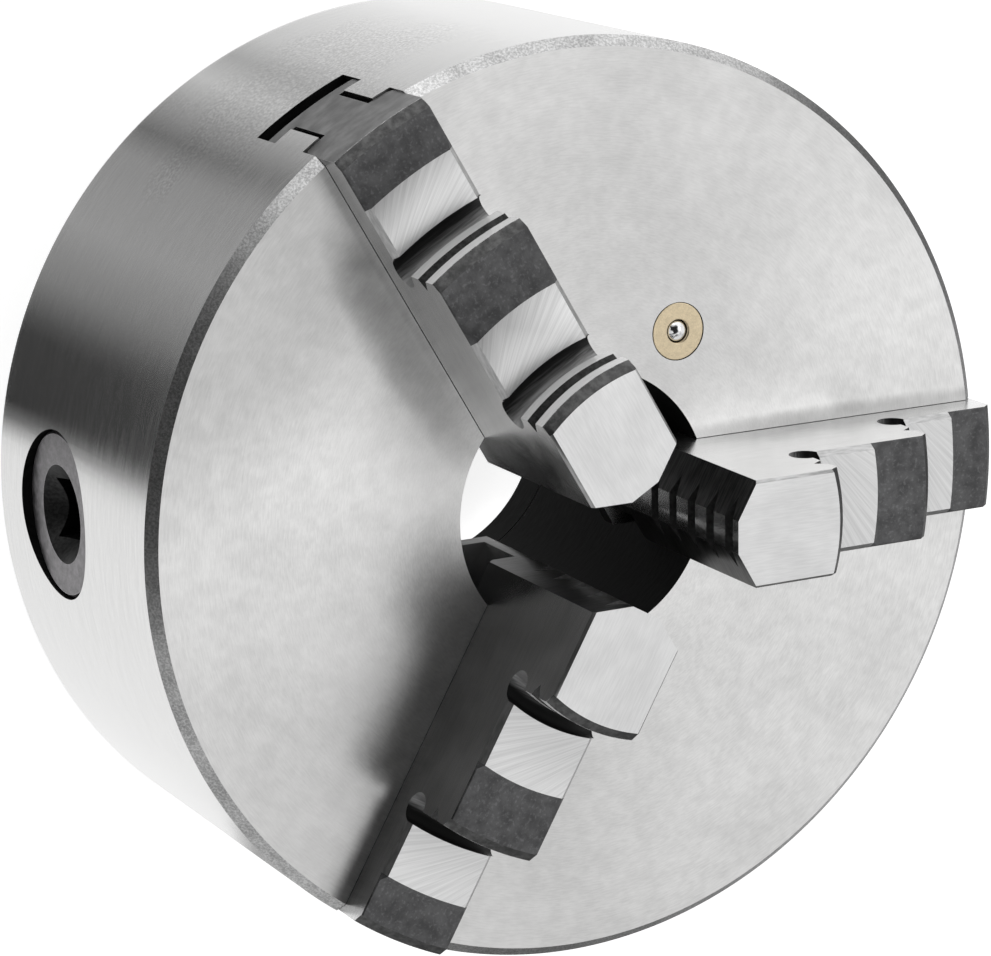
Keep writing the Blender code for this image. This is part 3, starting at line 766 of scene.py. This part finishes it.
def chuck_body():
    """Body turned from its profile, with the slots, bores and tapped holes cut out."""
    profile = [
        (BORE_R, HUB_END_Z, BORE), (HUB_R, HUB_END_Z, BORE), (HUB_R, CEILING_Z, BORE),
        (CAVITY_R, CEILING_Z, BORE), (CAVITY_R, SHOULDER_Z, SLOT), (REGISTER_R, SHOULDER_Z, SLOT),
        (REGISTER_R, EDGE_BREAK, CHAMFER), (REGISTER_R + EDGE_BREAK, 0, FACE),
        (BODY_R - REAR_CHAMFER, 0, CHAMFER), (BODY_R, REAR_CHAMFER, SIDE),
        (BODY_R, BODY_H - FRONT_CHAMFER, CHAMFER), (BODY_R - FRONT_CHAMFER, BODY_H, FACE),
        (BORE_R + SLOT_BREAK, BODY_H, BORE), (BORE_R, BODY_H - SLOT_BREAK, BORE)]
    finish = [zone for _, _, zone in profile for _ in range(ROUND)]
    body = turned_ring("body_skin", [(r, z) for r, z, _ in profile], ROUND, finish)
    painted(body, face_steel(), side_steel(), chamfer_steel(), slot_steel(), bore_painted_shade())
    cutters = [slot_cutter(a) for a in JAW_ANGLES]
    for angle in PINION_ANGLES:
        journal = [(JOURNAL_R + GAP, 78 * MM), (JOURNAL_R + GAP, 105 * MM)]
        pilot = [(PILOT_R + GAP, PILOT_END - GAP), (PILOT_R + GAP, 46 * MM)]
        cutters.append(bake(turned_solid("bore", journal, 128, BORE), along_x(angle, PINION_Z)))
        cutters.append(bake(turned_solid("bore", pilot, 48, BORE), along_x(angle, PINION_Z)))
    cutters += holes(M8_R + GAP, GROOVE_AT, PINION_ANGLES, -1 * MM, 20 * MM)
    cutters += holes(MOUNT_HOLE_R, MOUNT_CIRCLE, JAW_ANGLES, -1 * MM, MOUNT_HOLE_DEPTH)
    cutters += holes(M6_R + GAP, COVER_SCREW_CIRCLE, screw_angles(), 10 * MM, M6_REACH + 1 * MM)
    cutters += holes(OILER_R + OILER_GAP, OILER_AT, [OILER_ANGLE],
                     BODY_H - OILER_DEPTH - GAP, BODY_H + 5 * MM, 72)
    cutters += holes(OIL_HOLE_R, OILER_AT, [OILER_ANGLE], CEILING_Z - 1 * MM, BODY_H - 5 * MM)
    combine(body, cutters, "DIFFERENCE")
    mount(smooth(body), Matrix(), "chuck", "ground_steel", "chuck_body")


def back_cover():
    """Rear plate with a supporting rib, notched for the pinion pilots."""
    top = HUB_END_Z - GAP
    rim = SHOULDER_Z - GAP
    fine = 0.4 * MM
    profile = [
        (BORE_R, COVER_Z + fine), (BORE_R + fine, COVER_Z), (REGISTER_R - GAP - fine, COVER_Z),
        (REGISTER_R - GAP, COVER_Z + fine), (REGISTER_R - GAP, rim),
        (COVER_RIM_R, rim), (COVER_RIM_R, top), (COVER_RIB_R, top), (COVER_RIB_R, COVER_RIB_TOP),
        (HUB_R + 0.6 * MM, COVER_RIB_TOP), (HUB_R + 0.6 * MM, top), (BORE_R, top)]
    inner = len(profile) - 1
    steps = ROUND // 2
    finish = [1 if i == inner else 0 for i in range(len(profile)) for _ in range(steps)]
    cover = painted(turned_ring("cover_skin", profile, steps, finish), face_steel(), bore_painted_shade())
    cutters = []
    for angle in PINION_ANGLES:
        notch = box("notch", (40 * MM, -7 * MM, 25.5 * MM), (56 * MM, 7 * MM, 45 * MM), 1)
        cutters.append(bake(notch, spin(angle)))
    seat = COVER_Z + GAP + M6_HEAD_H + GAP
    head, shank = M6_HEAD_R + GAP, M6_R + GAP
    profile = [(head + 0.5 * MM, COVER_Z - 1 * MM), (head + 0.5 * MM, COVER_Z),
               (head, COVER_Z + 0.5 * MM), (head, seat), (shank, seat), (shank, 20 * MM)]
    for drill in drills(profile, COVER_SCREW_CIRCLE, screw_angles(), 48):
        for face in drill.data.polygons:
            face.material_index = 1
        cutters.append(drill)
    combine(cover, cutters, "DIFFERENCE")
    mount(smooth(cover), Matrix(), "chuck", "ground_steel", "back_cover")


def cover_screw(number, steel):
    """Socket head cap screw M6 with a rounded head edge and a hexagon socket."""
    low = COVER_Z + GAP
    corner = 0.5 * MM
    edge = [(M6_HEAD_R - corner + corner * math.sin(a), low + corner - corner * math.cos(a))
            for a in [math.pi / 2 * i / 5 for i in range(6)]]
    profile = edge + [(M6_HEAD_R, low + M6_HEAD_H), (M6_R, low + M6_HEAD_H),
                      (M6_R, M6_REACH - 0.6 * MM), (M6_R - 0.6 * MM, M6_REACH)]
    screw = painted(turned_solid(f"cap_screw_{number}", profile, 48), steel)
    key = prism("key", regular_polygon(5 * MM, 6), 0, low + 3.2 * MM)
    combine(screw, [key], "DIFFERENCE")
    place = spin(screw_angles()[number - 1]) @ Matrix.Translation((COVER_SCREW_CIRCLE, 0, 0))
    mount(smooth(screw), place, "chuck", "black_screw", f"cover_screw_{number}")


def retaining_screw(number, steel):
    """Slotted M8 screw whose dog point runs in the groove of a pinion."""
    profile = [(M8_R - 0.6 * MM, 1 * MM), (M8_R, 1.6 * MM), (M8_R, 13 * MM),
               (DOG_R, 13.6 * MM), (DOG_R, DOG_END - 0.4 * MM), (DOG_R - 0.4 * MM, DOG_END)]
    screw = painted(turned_solid(f"dog_screw_{number}", profile, 48), steel)
    slot = box("slot", (-5 * MM, -0.7 * MM, 0), (5 * MM, 0.7 * MM, 2.8 * MM))
    combine(screw, [slot], "DIFFERENCE")
    place = spin(PINION_ANGLES[number - 1]) @ Matrix.Translation((GROOVE_AT, 0, 0))
    mount(smooth(screw), place, "chuck", "black_screw", f"pinion_retaining_screw_{number}")


# ---------------------------------------- jaws

FLANK, STEP, OXIDE, RELIEF, LAND, GROOVE, CORNER, NOSE, TAIL, EDGE, BEVEL = range(11)


def undercut(riser, ground):
    """Relief groove at the foot of a riser, from the riser face round to the ground flat."""
    points = []
    for i in range(UNDERCUT_STEPS + 1):
        a = math.pi / 2 + 3 * math.pi / 2 * i / UNDERCUT_STEPS
        points.append((riser + UNDERCUT_R * math.cos(a), ground + UNDERCUT_R * math.sin(a)))
    return points


def jaw_side():
    """Side outline of a jaw as (kind, radius, height, edge chamfer, finish up to the next point)."""
    outline = [("nose", BODY_R, FLANGE_Z, 0, BEVEL), ("nose", BODY_R, TOP_Z, 2 * EDGE_FINE, NOSE),
               ("arc", RISER_R[0] - LAND_CHAMFER, TOP_Z, 2 * EDGE_FINE, CORNER)]
    high = TOP_Z
    for riser, ground, dark in zip(RISER_R, STEP_GROUND, STEP_DARK_R):
        groove = high - V_GROOVE_DROP
        outline += [("arc", riser, high - LAND_CHAMFER, 0, LAND),
                    ("arc", riser, groove + V_GROOVE_HALF, 0, GROOVE),
                    ("arc", riser - V_GROOVE_DEPTH, groove, 0, GROOVE),
                    ("arc", riser, groove - V_GROOVE_HALF, 0, LAND)]
        points = undercut(riser, ground)
        outline += [("arc", r, z, 0, RELIEF) for r, z in points[:-1]]
        outline.append(("arc", points[-1][0], points[-1][1], EDGE_GROUND, STEP))
        high = ground - STEP_DROP
        outline.append(("arc", dark, ground, EDGE_GROUND, OXIDE))
        outline.append(("arc", dark + STEP_RAMP, high, EDGE_FINE, OXIDE))
        end = RISER_R[1] if riser == RISER_R[0] else JAW_END_R
        outline.append(("arc", end - LAND_CHAMFER, high, EDGE_FINE, CORNER))
    outline += [("arc", JAW_END_R, high - LAND_CHAMFER, 0, TAIL), ("arc", JAW_END_R, FLANGE_Z, 0, FLANK)]
    return outline


def jaw_stations(edge):
    """Positions across the jaw's width: the flat tip strip, the bevels, the edge chamfer, the side."""
    between = [STRIP_HALF_W + (10.1 * MM - STRIP_HALF_W) * i / 4 for i in range(1, 5)]
    half = [STRIP_HALF_W / 2, STRIP_HALF_W] + between + [JAW_HALF_W - max(edge, EDGE_FINE), JAW_HALF_W]
    return [-v for v in reversed(half)] + [0.0] + half


def jaw_point(kind, radius, z, edge, station):
    """A point of the side outline, carried to one position across the jaw."""
    v = jaw_stations(edge)[station]
    u = math.sqrt(radius ** 2 - v ** 2)
    if kind == "nose":
        u = JAW_TIP + max(0.0, abs(v) - STRIP_HALF_W) * NOSE_SLOPE
    drop = edge if station in (0, len(jaw_stations(0)) - 1) else 0
    return u, v, z - drop


def jaw_blank(name):
    """Jaw before its slots, grip grooves and teeth: the side outline swept across the width."""
    outline, stations = jaw_side(), jaw_stations(0)
    rows, columns = len(stations), len(outline)
    verts = [jaw_point(*point[:4], station) for station in range(rows) for point in outline]
    faces = ring_faces(rows, columns, False)
    finish = []
    for row in range(rows - 1):
        at_edge = row in (0, rows - 2)
        on_strip = max(abs(stations[row]), abs(stations[row + 1])) <= STRIP_HALF_W
        for _, _, _, edge, zone in outline:
            if at_edge and edge and zone in (STEP, NOSE):
                zone = EDGE
            elif on_strip and zone == BEVEL:
                zone = FLANK
            finish.append(zone)
    faces += [tuple(range(columns)), tuple(range((rows - 1) * columns, rows * columns))]
    return mesh_object(name, verts, faces, finish + [FLANK, FLANK])


def serration(number):
    """Cutter for one grip groove, a wedge lying across the nose."""
    z = TOP_Z - (number + 0.5) * SERRATION_PITCH
    reach = 2 * SERRATION_DEPTH
    half = SERRATION_HALF * (reach + SERRATION_DEPTH) / SERRATION_DEPTH
    outline = [(JAW_TIP - reach, -half), (JAW_TIP + SERRATION_DEPTH, 0), (JAW_TIP - reach, half)]
    turn = Matrix(((1, 0, 0, 0), (0, 0, -1, 0), (0, 1, 0, z), (0, 0, 0, 1)))
    return bake(prism("wedge", outline, -JAW_HALF_W, JAW_HALF_W, GROOVE), turn)


def tooth_radii(angle):
    """Where the scroll's grooves cross one jaw's centre line, within the jaw's length."""
    phase = SPIRAL_START + SPIRAL_PITCH * (angle / 360 + 0.5)
    first = math.ceil((FIRST_TOOTH - phase) / SPIRAL_PITCH)
    return [phase + SPIRAL_PITCH * (first + i) for i in range(JAW_TEETH)]


def jaw_tooth(radius):
    """Curved tooth under the flange."""
    steps = 12
    spots = [JAW_TOOTH_HALF_LEN * (2 * k / steps - 1) for k in range(steps + 1)]
    outline = []
    for offset, row in ((JAW_TOOTH_W / 2, spots), (-JAW_TOOTH_W / 2, spots[::-1])):
        for v in row:
            bend = JAW_TOOTH_BEND - math.sqrt(JAW_TOOTH_BEND ** 2 - v ** 2)
            outline.append((radius + offset - bend, v))
    return prism("tooth", outline, JAW_TOOTH_Z, FLANGE_Z + 1 * MM, RELIEF)


def jaw(number, materials):
    """One jaw with its I-section foot, grip grooves and scroll teeth."""
    angle = JAW_ANGLES[number - 1]
    body = painted(jaw_blank(f"jaw_{number}_skin"), *materials)
    cutters = []
    for side in (-1, 1):
        bevel_z = HEAD_Z + HEAD_BEVEL
        outline = [(WEB_HALF_W, FLANGE_TOP), (20 * MM, FLANGE_TOP), (20 * MM, bevel_z),
                   (JAW_HALF_W, bevel_z), (JAW_HALF_W - HEAD_BEVEL, HEAD_Z), (WEB_HALF_W, HEAD_Z)]
        cutters.append(lengthwise([(side * v, z) for v, z in outline], 5 * MM, 110 * MM, FLANK))
    cutters += [serration(i) for i in range(SERRATIONS)]
    combine(body, cutters, "DIFFERENCE")
    combine(body, [jaw_tooth(r) for r in tooth_radii(angle)], "UNION")
    mount(smooth(body), spin(angle), f"jaw_{number}", "jaw_steel", f"jaw_{number}")


# ---------------------------------------- pinions

END, SOCKET, TOOTHED = range(3)


def involute_outline():
    """Pinion outline at the wheel's outer radius, one tooth on +X."""
    pitch_r = PINION_TEETH * GEAR_MODULE / 2
    base_r = pitch_r * math.cos(PRESSURE)
    outer_r = pitch_r + PINION_ADDENDUM * GEAR_MODULE
    root_r = pitch_r - DEDENDUM * GEAR_MODULE

    def roll(r):
        """Involute function of the pressure angle at a radius."""
        a = math.acos(base_r / r)
        return math.tan(a) - a

    half_pitch = TOOTH_SHARE * math.pi / PINION_TEETH
    steps = 9
    flank = []
    for k in range(steps + 1):
        r = base_r + (outer_r - base_r) * k / steps
        flank.append((r, half_pitch + roll(pitch_r) - roll(r)))
    half = [(root_r, flank[0][1] + 0.02)] + flank
    outline = []
    for i in range(PINION_TEETH):
        centre = 2 * math.pi * i / PINION_TEETH
        tooth = [(r, centre - a) for r, a in half] + [(r, centre + a) for r, a in reversed(half)]
        outline += [(r * math.cos(a), r * math.sin(a)) for r, a in tooth]
    return outline


def pinion_gear():
    """The involute outline drawn in toward the crossing of the axes."""
    outline = involute_outline()
    n = len(outline)
    near, far = GEAR_IN_R + 1 * MM, JOURNAL_IN + 0.5 * MM
    verts = [(x * d / GEAR_R, y * d / GEAR_R, d) for d in (near, far) for x, y in outline]
    faces = [tuple(range(n)), tuple(range(n, 2 * n))]
    faces += [(i, (i + 1) % n, n + (i + 1) % n, n + i) for i in range(n)]
    return mesh_object("gear", verts, faces, TOOTHED)


def pinion(number, materials):
    """One pinion: pilot, gear, grooved journal and key socket, with its axis along Z until placed."""
    mouth = PINION_END
    cone_r, cone_z = SOCKET_MOUTH_R - SOCKET_CONE_DEPTH, mouth - SOCKET_CONE_DEPTH
    profile = [
        (PILOT_R - 0.6 * MM, PILOT_END, TOOTHED), (PILOT_R, PILOT_END + 0.6 * MM, TOOTHED),
        (PILOT_R, JOURNAL_IN, TOOTHED), (JOURNAL_R, JOURNAL_IN, TOOTHED),
        (JOURNAL_R, GROOVE_AT - GROOVE_HALF, TOOTHED), (GROOVE_R, GROOVE_AT - GROOVE_HALF, TOOTHED),
        (GROOVE_R, GROOVE_AT + GROOVE_HALF, TOOTHED), (JOURNAL_R, GROOVE_AT + GROOVE_HALF, END),
        (JOURNAL_R, mouth - 0.7 * MM, END), (JOURNAL_R - 0.7 * MM, mouth, END),
        (SOCKET_MOUTH_R, mouth, SOCKET), (cone_r, cone_z, SOCKET)]
    steps = 128
    finish = [zone for _, _, zone in profile[:-1] for _ in range(steps)] + [TOOTHED, SOCKET]
    outline = [(r, z) for r, z, _ in profile]
    shaft = painted(turned_solid(f"pinion_{number}_skin", outline, steps, finish), *materials)
    combine(shaft, [pinion_gear()], "UNION")
    corners = regular_polygon(SQUARE, 4, math.pi / 4)
    square = prism("square", corners, mouth - SOCKET_DEPTH, mouth + 5 * MM, SOCKET)
    combine(shaft, [square], "DIFFERENCE")
    bake(shaft, Matrix.Rotation(math.pi, 4, "Z"))
    place = along_x(PINION_ANGLES[number - 1], PINION_Z)
    mount(smooth(shaft), place, f"pinion_{number}", "pinion_steel", f"pinion_{number}")


# ---------------------------------------- ball oiler, scroll plate

def oiler_place(height=0.0):
    """Place of the oiler's axis, at a height above the rear rim."""
    return spin(OILER_ANGLE) @ Matrix.Translation((OILER_AT, 0, height))


def oiler_button():
    """Brass button with a seat for the ball and a lip that keeps the spring in."""
    top, low = BODY_H - 0.05 * MM, BODY_H - OILER_DEPTH
    mouth = 2.3 * MM
    profile = [
        (1.4 * MM, low), (OILER_R - 0.5 * MM, low), (OILER_R, low + 0.5 * MM),
        (OILER_R, top - 0.2 * MM), (OILER_R - 0.06 * MM, top - 0.06 * MM), (OILER_R - 0.2 * MM, top),
        (mouth + 0.5 * MM, top), (mouth + 0.3 * MM, top - 0.12 * MM),
        (mouth + 0.2 * MM, top - 0.4 * MM), (OILER_BORE_R, BALL_Z + 0.2 * MM),
        (OILER_BORE_R, low + 0.8 * MM), (1.4 * MM, low + 0.8 * MM)]
    button = painted(turned_ring("oiler_button", profile, 96), brass())
    mount(smooth(button, 15), oiler_place(), "chuck", "oiler_brass", "oiler_body")


def ball(steel):
    """Check ball that closes the oiler."""
    rings = 31
    turns = [math.pi * i / (rings + 1) - math.pi / 2 for i in range(1, rings + 1)]
    profile = [(BALL_R * math.cos(a), BALL_R * math.sin(a)) for a in turns]
    piece = painted(turned_solid("check_ball", profile, 64), steel)
    mount(smooth(piece), oiler_place(BALL_Z), "oiler_ball", "bright_ball", "oiler_ball")


def polished(node, name, body, slot, mat):
    """A smooth-shaded copy of a CAD node whose shape is already right."""
    copy = bpy.data.objects.new(name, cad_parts[node].data.copy())
    bpy.context.scene.collection.objects.link(copy)
    for attribute in ("custom_normal", "sharp_face", "sharp_edge"):
        if attribute in copy.data.attributes:
            copy.data.attributes.remove(copy.data.attributes[attribute])
    copy.data.materials.clear()
    painted(copy, mat)
    mount(smooth(copy, weld=1e-6), Matrix(), body, slot, node)
    return copy


# ---------------------------------------- studio

# Camera fitted to the outlines in the photo, in metres; the roll turns it about its line of sight
VIEW_FROM = Vector((-0.42754, -0.01281, 0.76807))
VIEW_AT = Vector((-0.02304, -0.00272, 0.085))
VIEW_ROLL = math.radians(-114.125)
VIEW_LENS = 137.98


def camera():
    """Camera at the photo's angle."""
    data = bpy.data.cameras.new("camera")
    data.lens = VIEW_LENS
    data.sensor_width = 36
    data.clip_start, data.clip_end = 0.05, 20
    cam = bpy.data.objects.new("camera", data)
    bpy.context.scene.collection.objects.link(cam)
    ahead = (VIEW_AT - VIEW_FROM).normalized()
    level = (Vector((0, 0, 1)) - ahead * ahead.z).normalized()
    up = math.cos(VIEW_ROLL) * level + math.sin(VIEW_ROLL) * ahead.cross(level)
    right = ahead.cross(up)
    turn = Matrix((right, up, -ahead)).transposed().to_4x4()
    cam.matrix_world = Matrix.Translation(VIEW_FROM) @ turn
    bpy.context.scene.camera = cam


def floor():
    """Pale translucent table, lit evenly from below."""
    disc = turned_solid("floor", [(4.0, -0.01), (4.0, 0.0)], 64)
    mat = bpy.data.materials.new("floor")
    mat.use_nodes = True
    shader = mat.node_tree.nodes["Principled BSDF"]
    shader.inputs["Base Color"].default_value = (0.5, 0.5, 0.5, 1)
    shader.inputs["Roughness"].default_value = 1.0
    shader.inputs["Specular IOR Level"].default_value = 0.0
    shader.inputs["Emission Color"].default_value = (1, 1, 1, 1)
    shader.inputs["Emission Strength"].default_value = 0.85
    painted(disc, mat)


# Tone that each stretch of the side wall mirrors from the table: polar angle, brightness
FOOT_TONES = ((60, 1.02), (120, 1.05), (140, 0.72), (145, 0.5), (150, 0.68), (155, 0.42),
              (160, 0.2), (164, 0.35), (175, 0.4), (183, 0.26), (188, 0.1), (190, 0.06),
              (199, 0.05), (201, 0.2), (204, 0.9), (206, 1.0), (300, 1.05))
# Where the table darkens behind that stretch: polar angle, distance from the wall in millimetres
FOOT_SHADE = ((90, 52), (236, 52), (240, 44), (246, 42), (250, 35), (255, 30), (260, 22),
              (266, 9), (300, 5))
FOOT_DIM = 0.38
FOOT_ANGLES = (92, 268)
# Millimetres from the wall: shade further out than this is left off, its soft edge, the card's end
SHADE_FROM = 52
SHADE_EDGE = 9
CARD_REACH = 60


def along(table, angle):
    """Value of a table of (angle, value) at an angle between its rows."""
    for (a, low), (b, high) in zip(table, table[1:]):
        if a <= angle < b:
            return low + (high - low) * (angle - a) / (b - a)


def mirror_card(name, rows, tones):
    """Card that only mirrors see: rows of points, and the brightness at each point."""
    width = len(rows[0])
    starts = [i * width + j for i in range(len(rows) - 1) for j in range(width - 1)]
    faces = [(a, a + 1, a + width + 1, a + width) for a in starts]
    mesh = bpy.data.meshes.new(name)
    mesh.from_pydata([point for row in rows for point in row], [], faces)
    tone = mesh.attributes.new("tone", "FLOAT", "POINT")
    for spot, value in zip(tone.data, [value for row in tones for value in row]):
        spot.value = value
    card = bpy.data.objects.new(name, mesh)
    bpy.context.scene.collection.objects.link(card)
    mat = bpy.data.materials.new(name)
    mat.use_nodes = True
    nodes, links = mat.node_tree.nodes, mat.node_tree.links
    nodes.remove(nodes["Principled BSDF"])
    light = nodes.new("ShaderNodeEmission")
    light.inputs["Color"].default_value = (1, 1, 1, 1)
    source = nodes.new("ShaderNodeAttribute")
    source.attribute_name = "tone"
    links.new(source.outputs["Fac"], light.inputs["Strength"])
    links.new(light.outputs[0], nodes["Material Output"].inputs["Surface"])
    painted(card, mat)
    card.visible_camera = card.visible_diffuse = card.visible_shadow = card.visible_transmission = False


def foot_card():
    """Graded card round the foot of the chuck, mirrored by its side wall."""
    back = math.degrees(math.atan2(VIEW_FROM.y, VIEW_FROM.x))
    rows, tones = [], []
    for step in range(2 * FOOT_ANGLES[0], 2 * FOOT_ANGLES[1]):
        angle = step / 2
        foot = spin(angle) @ Vector((BODY_R + 0.5 * MM, 0, 0.3 * MM))
        shade, bright = along(FOOT_SHADE, angle), along(FOOT_TONES, angle)
        dim = min(bright, FOOT_DIM) if shade < SHADE_FROM else bright
        reaches = (0, shade, min(shade + SHADE_EDGE, CARD_REACH - 1), CARD_REACH)
        away = spin(2 * angle - back)
        rows.append([foot + away @ Vector((reach * MM, 0, 0)) for reach in reaches])
        tones.append([bright, bright, dim, dim])
    mirror_card("foot_card", rows, tones)


def far_card():
    """Dark stretch of table beyond the chuck, which outlines the far rim in its front chamfer."""
    rows = []
    for angle in range(-70, 66, 5):
        rows.append([spin(angle) @ Vector((reach, 0, 0.4 * MM)) for reach in (0.2, 0.26, 3.0)])
    mirror_card("far_card", rows, [(1.0, 0.1, 0.1)] * len(rows))


# Broad soft lights and dark flags of the studio: direction, the cosines where the lobe starts and is
# full, and the brightness it adds
LOBES = (((-0.49, 0.02, 0.87), 0.64, 0.78, -0.98), ((-0.49, 0.02, 0.87), 0.47, 0.66, -0.12),
         ((0.72, -0.1, 0.68), 0.955, 1.0, -0.35), ((0.26, 0.42, 0.87), 0.92, 0.985, 0.95),
         ((0.35, -0.43, 0.87), 0.88, 1.0, 0.1), ((-0.8, -0.4, 0.42), 0.83, 0.95, -0.85),
         ((-0.75, 0.62, 0.42), 0.88, 1.0, 0.75), ((-0.26, 0.92, 0.3), 0.7, 0.9, 0.3),
         ((-0.15, -0.95, 0.25), 0.75, 0.95, -0.4))
DARKEST = 0.025


def world_maths(tree, operation, a, b):
    """Maths node of the world: a socket, and a second socket or a number."""
    node = tree.nodes.new("ShaderNodeMath")
    node.operation = operation
    tree.links.new(a, node.inputs[0])
    if isinstance(b, bpy.types.NodeSocket):
        tree.links.new(b, node.inputs[1])
    else:
        node.inputs[1].default_value = b
    return node.outputs[0]


def studio():
    """World of soft studio light: a bright dome with broad lobes."""
    world = bpy.data.worlds.new("studio")
    bpy.context.scene.world = world
    world.use_nodes = True
    tree = world.node_tree
    place = tree.nodes.new("ShaderNodeTexCoord").outputs["Generated"]
    total = None
    for direction, start, full, gain in LOBES:
        aim = tree.nodes.new("ShaderNodeVectorMath")
        aim.operation = "DOT_PRODUCT"
        tree.links.new(place, aim.inputs[0])
        aim.inputs[1].default_value = Vector(direction).normalized()
        lobe = tree.nodes.new("ShaderNodeMapRange")
        lobe.interpolation_type = "SMOOTHERSTEP"
        tree.links.new(aim.outputs["Value"], lobe.inputs[0])
        for socket, value in zip(lobe.inputs[1:5], (start, full, 0.0, gain)):
            socket.default_value = value
        total = world_maths(tree, "ADD", lobe.outputs[0], 1.0 if total is None else total)
    total = world_maths(tree, "MAXIMUM", total, DARKEST)
    tree.links.new(total, tree.nodes["Background"].inputs["Strength"])
    tree.nodes["Background"].inputs["Color"].default_value = (1, 1, 1, 1)


# ---------------------------------------- assembly

def main():
    """Stages the studio and builds every piece."""
    bpy.context.scene.view_settings.view_transform = "Standard"
    camera()
    floor()
    foot_card()
    far_card()
    studio()
    chuck_body()
    back_cover()
    screw, gear, bright = screw_steel(), gear_steel(), ball_steel()
    jaw_materials = [jaw_side_steel(), jaw_step_steel(), oxide_steel(), relief_painted_shade(),
                     land_steel(), groove_steel(), corner_steel(), nose_steel(), tail_steel(),
                     edge_steel(), bevel_steel()]
    pinion_materials = [pinion_steel(), socket_steel(), gear]
    for number in range(1, COVER_SCREWS + 1):
        cover_screw(number, screw)
    for number in (1, 2, 3):
        jaw(number, jaw_materials)
        pinion(number, pinion_materials)
        retaining_screw(number, screw)
    oiler_button()
    ball(bright)
    polished("scroll_plate", "scroll_skin", "scroll", "gear_steel", gear)
    spring = polished("oiler_spring", "spring_skin", "chuck", "bright_ball", bright)
    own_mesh(spring)


main()
